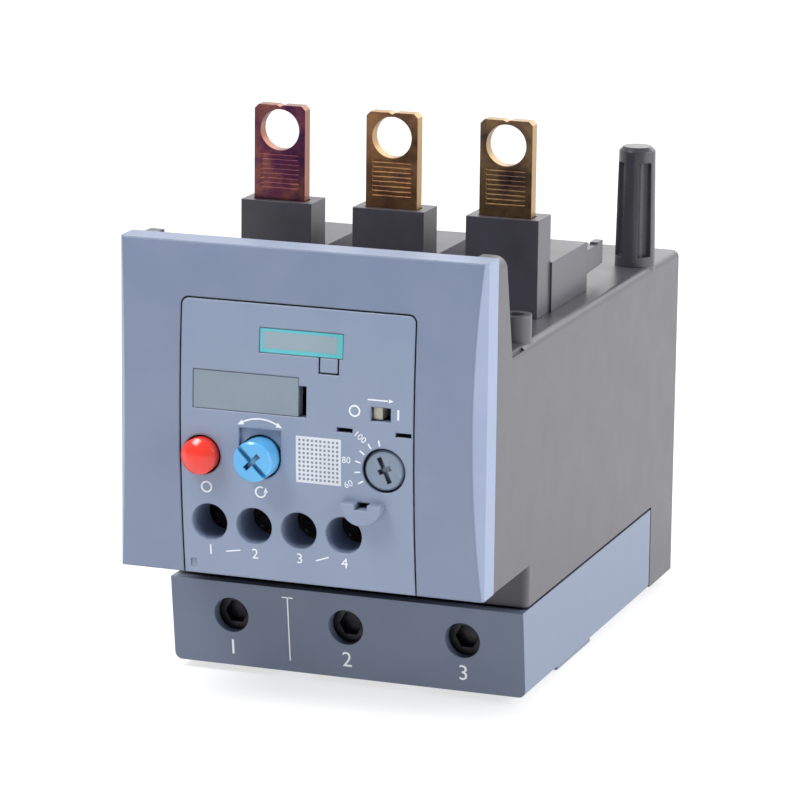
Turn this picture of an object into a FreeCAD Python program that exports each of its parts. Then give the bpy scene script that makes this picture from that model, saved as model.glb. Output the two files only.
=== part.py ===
"""Three-pole thermal overload relay with a plug-on contact side, as an assembly of separate pieces.

Frame: X to the right, Y to the back, Z up. The origin is under the middle of the whole device, at the
height of its feet. All lengths are in millimetres and live in the sheet "sizes".
"""
import FreeCAD
import Part
import math
import os
import re
import Sketcher
from FreeCAD import Placement, Rotation, Vector

# Every driving size: alias, value, what it is.
SIZES = [
    # whole device
    ("body_width", 70.0, "width of the housing, cover and terminal block"),
    ("face_reach", 60.5, "from the origin forward to the crown of the front face"),
    ("rear_reach", 64.5, "from the origin back to the rear wall"),
    ("foot_height", 1.3, "height of the feet under the terminal block"),
    ("foot_width", 2.2, "width of one foot"),
    ("foot_length", 21.0, "length of one foot"),
    ("foot_inset", 26.0, "from the front of the terminal block to the front of a foot"),
    # housing
    ("housing_wall", 2.0, "wall of the housing"),
    ("base_step", 0.5, "rise of the housing's rear base above the terminal block's base"),
    ("front_wall_rise", 18.0, "rise of the front wall above the deck"),
    ("lug_rise", 0.7, "rise of the corner lugs above the front wall"),
    ("lug_width", 4.4, "width of a corner lug"),
    ("wall_foot_depth", 8.3, "depth of the front wall at the deck"),
    ("wall_top_depth", 4.2, "depth of the front wall at its top"),
    ("head_depth", 19.7, "overhang of the head in front of the lower body"),
    ("head_clear", 8.4, "height of the head's underside above the terminal block"),
    ("corner_radius", 1.3, "rounding of the upright corners"),
    ("rim_radius", 1.4, "rounding of the long upper edges"),
    ("lug_radius", 2.2, "rounding of the front wall's upper corners"),
    ("boss_radius", 3.0, "outside of the ring boss on the deck"),
    ("boss_bore", 1.7, "bore radius of the ring boss"),
    ("boss_height", 4.9, "height of the ring boss"),
    ("boss_back", 11.9, "from the front wall's foot to the ring boss's axis"),
    ("notch_length", 7.5, "length of the gap at the foot of the ring boss"),
    ("notch_height", 0.8, "height of that gap"),
    # front cover
    ("cover_depth", 8.1, "depth of the cover from its crown to its rear edge"),
    ("cover_band", 9.8, "cover above the panel opening"),
    ("cover_over", 0.3, "cover above the housing's corner lugs"),
    ("cover_drop", 0.2, "how far the cover hangs below the head"),
    ("cover_wall", 2.0, "wall of the cover"),
    ("crown_radius", 230.0, "radius of the crowned front face, about X"),
    ("crown_height", 58.3, "height of the crown above the feet"),
    ("bevel_width", 1.8, "width of the cover's side bevel"),
    ("bevel_depth", 2.8, "depth of the cover's side bevel"),
    ("frame_wall", 1.5, "wall round the panel opening"),
    ("opening_radius", 1.5, "rounding of the opening's upper corners"),
    # front panel
    ("panel_width", 45.0, "width of the panel opening"),
    ("seam", 0.3, "gap round the front panel"),
    ("panel_wall", 2.2, "wall of the front panel"),
    ("strip_height", 10.4, "height of the terminal strip behind the panel"),
    ("strip_back", 9.5, "from the crown to the back of the terminal strip"),
    ("strip_margin", 4.2, "terminal strip beyond the outer screw axes"),
    ("funnel_radius", 3.45, "screwdriver funnel"),
    ("label_width", 20.4, "width of the label plate"),
    ("label_height", 7.2, "height of the label plate"),
    ("label_depth", 0.8, "depth of the label plate's recess"),
    ("label_left", 19.9, "from the middle out to the label's left edge"),
    ("label_rise", 31.3, "label's lower edge above the panel's lower edge"),
    ("label_slot", 1.5, "width of the pry slot beside the label"),
    ("plate_clear", 0.1, "clearance round an inset plate"),
    ("blank_width", 16.0, "width of the blank plate"),
    ("blank_height", 4.6, "height of the blank plate"),
    ("blank_left", 7.2, "from the middle out to the blank plate's left edge"),
    ("blank_gap", 3.9, "blank plate above the label plate"),
    ("blank_margin", 4.5, "panel opening above the blank plate"),
    ("tongue_width", 3.3, "width of the latch tongue"),
    ("tongue_height", 2.6, "height of the latch tongue"),
    ("tongue_left", 4.5, "latch tongue's left edge"),
    ("tongue_gap", 0.3, "slot round the latch tongue"),
    ("window_left", 14.2, "test window's left edge"),
    ("window_width", 3.8, "width of the test window"),
    ("window_height", 2.6, "height of the test window"),
    ("window_rise", 31.8, "test window's lower edge above the panel's lower edge"),
    ("hook_slot_width", 3.0, "width of a cover-hook slot"),
    ("hook_slot_height", 0.8, "height of a cover-hook slot"),
    ("hook_slot_rise", 29.3, "hook slots above the panel's lower edge"),
    ("hook_slot_inner", 7.8, "left hook slot's left edge"),
    ("hook_slot_outer", 18.9, "right hook slot's left edge"),
    ("seal_radius", 3.9, "half-round sealing lug"),
    ("seal_reach", 1.3, "how far the sealing lug stands out"),
    ("seal_left", 12.9, "sealing lug's axis to the right of the middle"),
    ("seal_rise", 16.6, "sealing lug's axis above the panel's lower edge"),
    ("seal_hole_width", 2.4, "width of the hole for the sealing wire"),
    ("seal_hole_height", 1.0, "height of that hole"),
    ("key_slot_width", 1.1, "width of the small slot in the panel's corner"),
    ("key_slot_height", 1.5, "height of that slot"),
    ("key_slot_inset", 1.2, "inset of that slot from the panel's edges"),
    # stop button
    ("stop_left", 18.2, "stop button to the left of the middle"),
    ("stop_rise", 22.7, "stop button above the panel's lower edge"),
    ("stop_radius", 3.35, "stop button's cap"),
    ("stop_rest", 1.1, "pressed stop button in front of the crown"),
    ("stop_dome", 1.5, "height of the stop button's dome"),
    ("stop_stem", 1.5, "radius of the stop button's stem"),
    ("stop_travel", 2.0, "stop button's travel"),
    # reset plunger and knob
    ("reset_left", 6.9, "reset knob to the left of the middle"),
    ("reset_rise", 23.2, "reset knob above the panel's lower edge"),
    ("knob_radius", 3.7, "reset knob"),
    ("knob_rest", 1.5, "pressed reset knob in front of the crown"),
    ("knob_length", 7.0, "length of the reset knob"),
    ("reset_stem", 2.0, "radius of the reset plunger's stem"),
    ("reset_collar", 3.9, "radius of the reset plunger's collar"),
    ("collar_length", 1.2, "length of a plunger's collar"),
    ("reset_travel", 2.5, "reset plunger's travel"),
    ("knob_slot", 0.9, "width of the knob's screwdriver slot"),
    ("knob_slot_depth", 1.1, "depth of that slot"),
    ("well_width", 8.0, "width of the shallow well above the reset knob"),
    ("well_height", 5.2, "height of that well above the knob's axis"),
    ("well_depth", 0.8, "depth of that well"),
    ("button_gap", 0.3, "clearance of a button in its hole"),
    # setting dial and its cam
    ("dial_left", 16.7, "dial to the right of the middle"),
    ("dial_rise", 22.9, "dial above the panel's lower edge"),
    ("dial_radius", 3.8, "setting dial"),
    ("dial_sunk", 0.5, "dial's face behind the crown"),
    ("dial_length", 4.0, "length of the dial's disc"),
    ("dial_stem", 2.0, "radius of the dial's stem"),
    ("dial_cross", 5.0, "length of the dial's driver cross"),
    ("cam_middle", 4.2, "cam radius at the middle setting"),
    ("cam_lift", 2.0, "change of cam radius over the whole scale"),
    ("cam_scale", 270.0, "angle of the whole scale in degrees"),
    ("cam_width", 2.0, "thickness of the cam"),
    ("cam_gap", 0.3, "gap between cam and adjusting slide"),
    # mechanism chassis
    ("chassis_front", 17.5, "from the crown to the chassis plate's front"),
    ("chassis_wall", 2.0, "chassis plate"),
    ("chassis_margin", 3.0, "chassis beyond the panel opening on each side"),
    ("cheek_wall", 1.5, "chassis cheeks"),
    ("chassis_gap", 0.2, "clearance of the chassis in the head"),
    ("running_gap", 0.08, "radial clearance of a turning or sliding shaft"),
    ("clip_length", 1.0, "length of a stem's retaining head"),
    ("clip_rise", 0.6, "retaining head's radius beyond its stem"),
    ("clip_gap", 0.2, "retaining head's distance behind the chassis plate"),
    ("spring_wire", 0.3, "radius of the button springs' wire"),
    ("spring_gap", 0.5, "gap between a stem and its spring"),
    ("spring_turns", 5.0, "turns of a button spring"),
    ("slider_gap", 0.2, "clearance of the test slider"),
    ("slider_sunk", 1.0, "test slider's face behind the crown"),
    ("slider_bar", 2.0, "height and depth of the test slider's bar"),
    ("slider_reach", 31.0, "length of the test slider's bar"),
    ("adjust_height", 4.4, "height of the adjusting slide"),
    ("adjust_length", 8.0, "length of the adjusting slide"),
    ("rib_wall", 1.5, "guide ribs of the adjusting slide"),
    ("rib_gap", 0.3, "clearance of the adjusting slide in its ribs"),
    ("snap_radius", 9.0, "radius of the snap spring's bow"),
    ("snap_wall", 0.4, "thickness of the snap spring"),
    ("snap_width", 2.0, "depth of the snap spring"),
    ("snap_rise", 4.5, "snap spring's foot above the test slider's bar"),
    # auxiliary terminals and contacts
    ("aux_pitch", 8.64, "pitch of the auxiliary screws"),
    ("aux_left", 17.0, "first auxiliary screw to the left of the middle"),
    ("aux_rise", 10.1, "auxiliary screws above the panel's lower edge"),
    ("aux_head", 2.9, "radius of an auxiliary screw's head"),
    ("aux_head_length", 2.4, "length of an auxiliary screw's head"),
    ("aux_shank", 1.75, "radius of an auxiliary screw's shank"),
    ("aux_shank_length", 4.6, "length of an auxiliary screw's shank"),
    ("aux_slot", 0.9, "width of an auxiliary screw's slots"),
    ("aux_slot_depth", 1.1, "depth of an auxiliary screw's slots"),
    ("washer_side", 6.4, "side of a clamping washer"),
    ("washer_wall", 0.9, "thickness of a clamping washer"),
    ("washer_gap", 0.1, "gap on each side of a washer"),
    ("plate_wall", 1.0, "thickness of an auxiliary terminal plate"),
    ("plate_height", 9.6, "height of an auxiliary terminal plate"),
    ("riser_width", 1.6, "width of a terminal plate's riser"),
    ("riser_top", 20.9, "riser's top above the auxiliary screws"),
    ("closed_shift_left", 2.2, "first riser's shift to the right"),
    ("closed_shift_right", 3.6, "second riser's shift to the left"),
    ("bridge_height", 2.5, "height of a contact bridge"),
    ("bridge_wall", 1.0, "thickness of a contact bridge"),
    ("bridge_gap", 0.05, "gap of the closed contacts"),
    ("contact_travel", 1.2, "travel of a contact bridge"),
    ("bridge_plunger", 1.0, "radius of a contact bridge's plunger"),
    ("plunger_length", 6.2, "length of a contact bridge's plunger"),
    ("shelf_wall", 3.0, "thickness of the terminal shelf"),
    ("wire_width", 5.4, "width of an auxiliary wire entry"),
    ("wire_length", 4.9, "length of an auxiliary wire entry"),
    ("wire_front", 1.0, "from the head's front edge to a wire entry"),
    # poles, line side
    ("pole_pitch", 22.5, "pitch of the poles"),
    ("tab_width", 10.2, "width of a line tab"),
    ("tab_wall", 2.6, "thickness of a line tab"),
    ("tab_top", 105.3, "top of the line tabs"),
    ("tab_front", 48.9, "from the crown back to the line tabs"),
    ("tab_hole", 3.9, "radius of the hole in a line tab"),
    ("tab_hole_drop", 4.7, "hole's axis below the tab's top"),
    ("tab_notch", 0.35, "depth of the notch in the tab's top edge"),
    ("tab_corner", 0.8, "cut corners of the tab"),
    ("groove_pitch", 0.9, "pitch of the tab's grip grooves"),
    ("groove_width", 0.45, "width of a grip groove"),
    ("groove_depth", 0.25, "depth of a grip groove"),
    ("groove_count", 8.0, "number of grip grooves"),
    ("groove_inset", 1.3, "inset of the grooves from the tab's sides"),
    ("tab_leg", 31.6, "length of the tab's inner leg"),
    ("tab_leg_drop", 1.7, "tab's inner leg below the deck's underside"),
    ("tab_clear", 0.25, "clearance of a tab in its carrier and the deck"),
    ("post_width", 14.2, "width of a carrier's post"),
    ("post_depth", 7.5, "depth of a carrier's post"),
    ("post_lead", 1.7, "post in front of its tab"),
    ("post_height", 18.6, "height of a carrier's post above the deck"),
    ("step_width", 15.0, "width of a carrier's rear step"),
    ("step_depth", 22.3, "depth of a carrier's rear step"),
    ("step_height", 9.5, "height of a carrier's rear step above the deck"),
    ("edge_break", 0.4, "broken edges of moulded posts"),
    # guide peg and coupling hook
    ("peg_inset", 4.0, "guide peg's axis in from the housing's right side"),
    ("peg_back", 106.0, "from the crown back to the guide peg"),
    ("peg_radius", 3.6, "radius of the guide peg's tip"),
    ("peg_foot", 4.0, "radius of the guide peg's foot"),
    ("peg_collar", 2.0, "height of the plain collar under the flutes"),
    ("peg_cap", 3.0, "length of the plain tip above the flutes"),
    ("peg_height", 23.8, "height of the guide peg above the deck"),
    ("flute_radius", 1.5, "radius of a flute"),
    ("flute_offset", 2.85, "flute's axis beside and behind the peg's axis"),
    ("peg_spigot", 2.4, "radius of the peg's spigot"),
    ("peg_chamfer", 0.8, "chamfer of the peg's end"),
    ("hook_length", 10.0, "length of the coupling hook"),
    ("hook_height", 4.9, "height of the coupling hook"),
    ("hook_wall", 1.6, "thickness of the coupling hook"),
    ("hook_drop", 1.3, "hook's top below the carrier's step"),
    # terminal block
    ("block_height", 16.8, "height of the terminal block"),
    ("block_depth", 82.4, "depth of the terminal block"),
    ("block_lip", 2.3, "terminal block in front of the lower body"),
    ("block_gap", 0.5, "seam above and behind the terminal block"),
    ("block_wall", 3.4, "front wall of the terminal block"),
    ("roof_wall", 2.0, "roof of the terminal block"),
    ("block_radius", 1.4, "rounding of the block's long lower edges"),
    ("clamp_pitch", 23.0, "pitch of the clamps"),
    ("clamp_rise", 10.2, "clamp screws above the block's base"),
    ("access_radius", 3.45, "screwdriver hole in front of a clamp"),
    ("chamber_width", 16.4, "width of a clamp chamber"),
    ("chamber_depth", 33.5, "depth of a clamp chamber"),
    ("core_width", 15.7, "width of a core-out under the block"),
    ("core_length", 18.3, "length of a core-out"),
    ("core_rib", 1.8, "rib between two core-outs"),
    ("core_wall", 3.5, "wall between a chamber and its core-outs, and above them"),
    ("core_rows", 2.0, "core-outs behind each chamber"),
    # clamps
    ("cage_width", 15.0, "width of a clamp cage"),
    ("cage_wall", 1.5, "side walls of a clamp cage"),
    ("cage_front", 2.5, "threaded wall of a clamp cage"),
    ("cage_back", 2.0, "rear wall of a clamp cage"),
    ("cage_height", 12.6, "height of a clamp cage"),
    ("cage_gap", 0.5, "cage below the chamber's roof"),
    ("cage_clear", 0.8, "gap between a closed cage and its screw's head"),
    ("cage_length", 20.9, "length of a clamp cage"),
    ("cage_travel", 6.0, "travel of a clamp cage"),
    ("screw_head", 4.2, "radius of a clamp screw's head"),
    ("screw_head_length", 3.5, "length of a clamp screw's head"),
    ("screw_head_gap", 0.3, "clamp screw's head behind the front wall"),
    ("screw_shank", 4.0, "radius of a clamp screw's shank"),
    ("screw_socket", 4.0, "across flats of a clamp screw's socket"),
    ("screw_socket_depth", 2.2, "depth of a clamp screw's socket"),
    ("screw_reach", 16.95, "from the chamber's front to the screw's tip"),
    ("bar_gap", 0.05, "gap between screw tip and load bar"),
    # load bars, bimetals, heaters
    ("bar_width", 10.0, "width of a load bar"),
    ("bar_wall", 2.0, "thickness of a load bar"),
    ("bar_foot", 2.7, "load bar's lower end above the block's base"),
    ("bar_lift", 1.5, "load bar's inner leg above the housing's floor"),
    ("bar_leg", 31.0, "length of the load bar's inner leg"),
    ("bar_clear", 0.3, "clearance of a load bar in its slots"),
    ("strip_gap", 0.05, "gap under a bimetal strip's foot"),
    ("strip_wall", 1.0, "thickness of a bimetal strip"),
    ("strip_width", 6.0, "width of a bimetal strip"),
    ("strip_reach", 69.5, "from the crown back to the bimetal strips"),
    ("finger_width", 2.0, "width of the finger on a strip"),
    ("finger_height", 6.5, "height of the finger on a strip"),
    ("finger_room", 3.7, "room between a finger and the tab's inner leg"),
    ("coil_radius", 4.6, "mean radius of a heater winding"),
    ("ribbon_wall", 0.4, "thickness of the heater ribbon"),
    ("ribbon_width", 1.6, "width of the heater ribbon"),
    ("coil_pitch", 3.6, "pitch of a heater winding"),
    ("coil_turns", 5.0, "turns of a heater winding"),
    ("coil_start", 6.0, "first turn above the load bar"),
    # trip slides, lever, partitions
    ("slide_wall", 1.2, "thickness of a trip slide"),
    ("slide_gap", 0.6, "gap between the two slides"),
    ("slide_depth", 9.6, "depth of a trip slide"),
    ("slide_margin", 5.5, "trip slide beyond the outer strips"),
    ("slide_rise", 2.9, "trip slide above the strips' shoulders"),
    ("trip_travel", 1.5, "travel of the trip slide"),
    ("finger_clear", 0.4, "clearance of a finger in its notch"),
    ("arm_width", 3.0, "width of the trip slide's arm"),
    ("arm_right", 23.0, "right side of the trip slide's arm"),
    ("lever_gap", 0.3, "gap between arm and trip lever"),
    ("lever_wall", 1.2, "thickness of the trip lever"),
    ("lever_depth", 4.0, "depth of the trip lever"),
    ("lever_drop", 12.0, "trip lever below its pin"),
    ("lever_pivot", 6.4, "lever's pin above the middle of the trip slide"),
    ("lever_eye", 2.4, "radius of the lever's eye"),
    ("pin_radius", 1.0, "radius of the lever's pin"),
    ("pin_tail", 1.0, "pin beyond the lever"),
    ("partition_wall", 1.5, "thickness of a pole partition"),
    ("partition_gap", 0.2, "clearance of a partition in the housing"),
    ("window_clear", 0.3, "clearance of the slides in the partitions"),
]

# Places worked out from the sizes, as expressions on the same names.
PLACES = {
    "half_width": "body_width / 2",
    "cover_back": "cover_depth - face_reach",
    "block_base": "foot_height",
    "block_top": "block_base + block_height",
    "floor_under": "block_top + block_gap",
    "floor_top": "floor_under + housing_wall",
    "head_base": "block_top + head_clear",
    "head_floor": "head_base + housing_wall",
    "deck_top": "cover_top - cover_over - lug_rise - front_wall_rise",
    "deck_under": "deck_top - housing_wall",
    "wall_top": "deck_top + front_wall_rise",
    "lug_top": "wall_top + lug_rise",
    "body_front": "cover_back + head_depth",
    "wall_foot": "cover_back + wall_foot_depth",
    "wall_ridge": "cover_back + wall_top_depth",
    "block_front": "body_front - block_lip",
    "block_back": "block_front + block_depth",
    "shell_back": "block_back + block_gap",
    "cover_base": "head_base - cover_drop",
    "cover_top": "panel_top + cover_band",
    "crown_axis": "crown_radius - face_reach",
    "panel_top": "blank_z + blank_height + blank_margin",
    "panel_half": "panel_width / 2 - seam",
    "panel_ceiling": "panel_top - seam",
    "aux_z": "cover_base + aux_rise",
    "stop_z": "cover_base + stop_rise",
    "reset_z": "cover_base + reset_rise",
    "dial_z": "cover_base + dial_rise",
    "seal_z": "cover_base + seal_rise",
    "label_z": "cover_base + label_rise",
    "blank_z": "label_z + label_height + blank_gap",
    "window_z": "cover_base + window_rise",
    "hook_slot_z": "cover_base + hook_slot_rise",
    "plate_front": "chassis_face - shelf_wall - plate_wall",
    "chassis_face": "chassis_front - face_reach",
    "chassis_rear": "chassis_face + chassis_wall",
    "chassis_half": "panel_width / 2 + chassis_margin",
    "strip_rear": "strip_back - face_reach",
    "washer_back": "plate_front - washer_gap",
    "head_back": "washer_back - washer_wall - washer_gap",
    "tab_face": "tab_front - face_reach",
    "tab_rear": "tab_face + tab_wall",
    "leg_top": "deck_under - tab_leg_drop",
    "leg_under": "leg_top - tab_wall",
    "post_front": "tab_face - post_lead",
    "post_rear": "post_front + post_depth",
    "step_rear": "post_rear + step_depth",
    "post_top": "deck_top + post_height",
    "step_top": "deck_top + step_height",
    "peg_left": "half_width - peg_inset",
    "peg_y": "peg_back - face_reach",
    "chamber_front": "block_front + block_wall",
    "chamber_rear": "chamber_front + chamber_depth",
    "chamber_roof": "block_top - roof_wall",
    "clamp_z": "block_base + clamp_rise",
    "screw_face": "chamber_front + screw_head_gap",
    "screw_neck": "screw_face + screw_head_length",
    "screw_tip": "chamber_front + screw_reach",
    "cage_face": "screw_neck + cage_clear + cage_travel",
    "cage_rear": "cage_face + cage_length",
    "cage_top": "chamber_roof - cage_gap",
    "cage_under": "cage_top - cage_height",
    "bar_face": "screw_tip + bar_gap",
    "bar_rear": "bar_face + bar_wall",
    "bar_under": "floor_top + bar_lift",
    "bar_top": "bar_under + bar_wall",
    "strip_y": "strip_reach - face_reach",
    "coil_y": "strip_y + strip_width / 2",
    "finger_top": "leg_under - finger_room",
    "shoulder_z": "finger_top - finger_height",
    "trip_z": "shoulder_z + slide_rise",
    "slide_y": "strip_y + finger_width + finger_clear + slide_gap - slide_depth",
    "slide_back": "slide_y + slide_depth",
    "differential_z": "trip_z - slide_gap - slide_wall",
    "pivot_z": "trip_z + slide_wall / 2 + lever_pivot",
    "lever_left": "arm_right + lever_gap",
    "pin_x": "lever_left + lever_wall / 2",
    "lever_front": "chassis_rear + clip_length",
    "bar_z": "window_z + (window_height - slider_bar) / 2",
    "cam_front": "chassis_rear + clip_gap",
    "stem_end": "cam_front + cam_width + clip_length",
    "stop_proud": "stop_rest + stop_travel",
    "knob_proud": "knob_rest + reset_travel",
    "collar_front": "2 * panel_wall - face_reach",
    "collar_back": "collar_front + collar_length",
}
NAMES = {name for name, _, _ in SIZES}
WORD = re.compile(r"[a-z_]+")

# Straight runs in one turn of a coil.
RUNS_A_TURN = 10

doc = FreeCAD.newDocument("overload_relay")
sheet = doc.addObject("Spreadsheet::Sheet", "sizes")
subparts = []


def fill_sheet():
    for row, (name, value, meaning) in enumerate(SIZES, start=1):
        sheet.set(f"A{row}", meaning)
        sheet.set(f"B{row}", str(value))
        sheet.setAlias(f"B{row}", name)
    doc.recompute()


def expand(text):
    """The expression with each place spelled out and each size read from the sheet."""
    def spell(match):
        word = match.group(0)
        if word in NAMES:
            return f"sizes.{word}"
        if word in PLACES:
            return f"({expand(PLACES[word])})"
        raise NameError(word)
    return WORD.sub(spell, text)


def size(text):
    """The value of an expression, for the pieces that are drawn from numbers."""
    return float(sheet.evalExpression(expand(text)))


def bind(item, prop, text):
    item.setExpression(prop, expand(text))


def node(item, name):
    """Name a finished sub-part."""
    item.Label = name
    subparts.append(item)
    return item


TURN_TO = {
    "x": Rotation(Vector(0, 1, 0), 90),
    "y": Rotation(Vector(1, 0, 0), -90),
    "z": Rotation(),
}


def block(low, high):
    """A box between two corners, each given by three expressions."""
    item = doc.addObject("Part::Box", "Box")
    for side, axis, start, end in zip(("Length", "Width", "Height"), "xyz", low, high):
        bind(item, side, f"({end}) - ({start})")
        bind(item, f"Placement.Base.{axis}", start)
    return item


def place(item, point, axis):
    item.Placement = Placement(Vector(), TURN_TO[axis])
    for letter, text in zip("xyz", point):
        bind(item, f"Placement.Base.{letter}", text)
    return item


def rod(point, radius, length, axis):
    """A cylinder that starts at a point and runs along an axis."""
    item = doc.addObject("Part::Cylinder", "Rod")
    bind(item, "Radius", radius)
    bind(item, "Height", length)
    return place(item, point, axis)


def cone(point, radius_1, radius_2, length, axis):
    item = doc.addObject("Part::Cone", "Cone")
    bind(item, "Radius1", radius_1)
    bind(item, "Radius2", radius_2)
    bind(item, "Height", length)
    return place(item, point, axis)


def fuse(items):
    if len(items) == 1:
        return items[0]
    item = doc.addObject("Part::MultiFuse", "Fusion")
    item.Shapes = items
    item.Refine = True
    return item


def cut(base, tools):
    item = doc.addObject("Part::Cut", "Cut")
    item.Base = base
    item.Tool = fuse(tools)
    item.Refine = True
    return item


def common(first, second):
    item = doc.addObject("Part::Common", "Common")
    item.Base = first
    item.Tool = second
    item.Refine = True
    return item


def compound(items):
    item = doc.addObject("Part::Compound", "Group")
    item.Links = items
    return item


# Planes of a body, by role, and the axis that a pad on each one runs along.
PLANES = {"x": "YZ_Plane", "y": "XZ_Plane", "z": "XY_Plane"}


def new_sketch(body, axis, points, offset=None):
    """A closed outline. A point is (u, v), or (u, v, radius, side) where an arc leads to the next one."""
    sketch = body.newObject("Sketcher::SketchObject", "Outline")
    plane = next(f for f in body.Origin.OriginFeatures if f.Role == PLANES[axis])
    sketch.AttachmentSupport = [(plane, "")]
    sketch.MapMode = "FlatFace"
    if offset:
        bind(sketch, "AttachmentOffset.Base.z", offset)
    corners = [Vector(size(p[0]), size(p[1]), 0) for p in points]
    for index, point in enumerate(points):
        start = corners[index]
        end = corners[(index + 1) % len(points)]
        if len(point) == 2:
            sketch.addGeometry(Part.LineSegment(start, end), False)
            continue
        radius = size(point[2])
        half = (end - start) * 0.5
        sagitta = radius - math.sqrt(radius ** 2 - half.Length ** 2)
        across = Vector(-half.y, half.x, 0).normalize() * sagitta * point[3]
        sketch.addGeometry(Part.Arc(start, start + half + across, end), False)
    for index in range(len(points)):
        following = (index + 1) % len(points)
        first_end = end_of(sketch, index, corners[following])
        second_start = end_of(sketch, following, corners[following])
        sketch.addConstraint(Sketcher.Constraint("Coincident", index, first_end, following, second_start))
    for index, point in enumerate(points):
        vertex = end_of(sketch, index, corners[index])
        if len(point) == 4:
            number = sketch.addConstraint(Sketcher.Constraint("Radius", index, size(point[2])))
            bind(sketch, f"Constraints[{number}]", point[2])
        for kind, text in zip(("DistanceX", "DistanceY"), point):
            number = sketch.addConstraint(Sketcher.Constraint(kind, -1, 1, index, vertex, size(text)))
            bind(sketch, f"Constraints[{number}]", text)
    return sketch


def end_of(sketch, index, corner):
    """Which end of an edge, 1 or 2, lies on a corner."""
    edge = sketch.Geometry[index]
    return 1 if (edge.StartPoint - corner).Length < (edge.EndPoint - corner).Length else 2


def slab(axis, points, width, offset=None):
    """A body padded from an outline: symmetric about its plane, or from an offset plane upwards."""
    body = doc.addObject("PartDesign::Body", "Body")
    pad = body.newObject("PartDesign::Pad", "Pad")
    pad.Profile = new_sketch(body, axis, points, offset)
    bind(pad, "Length", width)
    if offset is None:
        pad.SideType = "Symmetric"
    return body


def turned(points, x, z):
    """A body turned about an axis along Y, from an outline of radius and Y."""
    body = doc.addObject("PartDesign::Body", "Turned")
    turn = body.newObject("PartDesign::Revolution", "Turn")
    outline = new_sketch(body, "z", points)
    turn.Profile = outline
    turn.ReferenceAxis = (outline, ["V_Axis"])
    turn.Angle = 360.0
    bind(body, "Placement.Base.x", x)
    bind(body, "Placement.Base.z", z)
    return body


def round_edges(body, radius, wanted):
    """Round the edges of a body's tip that pass the test."""
    doc.recompute()
    base = body.Tip
    names = [f"Edge{i}" for i, edge in enumerate(base.Shape.Edges, start=1) if wanted(edge)]
    fillet = body.newObject("PartDesign::Fillet", "Fillet")
    fillet.Base = (base, names)
    bind(fillet, "Radius", radius)
    return fillet


def runs_along(edge, axis, **at):
    """True for a straight edge along an axis that lies at the given coordinates."""
    box = edge.BoundBox
    spans = {"x": box.XLength, "y": box.YLength, "z": box.ZLength}
    middles = {"x": abs(box.Center.x), "y": box.Center.y, "z": box.Center.z}
    if any(spans[other] > 0.01 for other in spans if other != axis):
        return False
    return all(abs(middles[letter] - value) < 0.01 for letter, value in at.items())


def crown(inset):
    """The drum that the crowned front face lies on, less an inset."""
    return rod(("-half_width - cover_wall", "crown_axis", "crown_height"),
               f"crown_radius - {inset}" if inset else "crown_radius",
               "body_width + 2 * cover_wall", "x")


def housing_body():
    """The dark moulded housing: lower body, overhanging head and gusseted front wall, hollow inside."""
    half = "half_width"
    outside = [
        ("cover_back", "head_base"),
        ("body_front", "head_base"),
        ("body_front", "floor_under"),
        ("shell_back", "floor_under"),
        ("shell_back", "block_base + base_step"),
        ("rear_reach", "block_base + base_step"),
        ("rear_reach", "deck_top"),
        ("wall_foot", "deck_top"),
        ("wall_ridge", "lug_top"),
        ("cover_back", "lug_top"),
    ]
    body = slab("x", outside, "body_width")
    side = size(half)
    round_edges(body, "corner_radius", lambda e: runs_along(e, "z", x=side, y=size("body_front")))
    round_edges(body, "corner_radius", lambda e: runs_along(e, "z", x=side, y=size("rear_reach")))
    round_edges(body, "rim_radius", lambda e: runs_along(e, "y", x=side, z=size("deck_top")))
    round_edges(body, "lug_radius", lambda e: runs_along(e, "y", x=side, z=size("lug_top")))
    return body


def housing_hollow():
    """The room inside the housing, open to the front where the cover closes it."""
    inside = [
        ("cover_back - housing_wall", "head_floor"),
        ("body_front + housing_wall", "head_floor"),
        ("body_front + housing_wall", "floor_top"),
        ("shell_back + housing_wall", "floor_top"),
        ("shell_back + housing_wall", "block_base + base_step + housing_wall"),
        ("rear_reach - housing_wall", "block_base + base_step + housing_wall"),
        ("rear_reach - housing_wall", "deck_under"),
        ("wall_foot - housing_wall", "deck_under"),
        ("wall_ridge - housing_wall", "wall_top - housing_wall"),
        ("cover_back - housing_wall", "wall_top - housing_wall"),
    ]
    return slab("x", inside, "body_width - 2 * housing_wall")


def pole(index, pitch):
    return f"{index - 2} * {pitch}"


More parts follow.
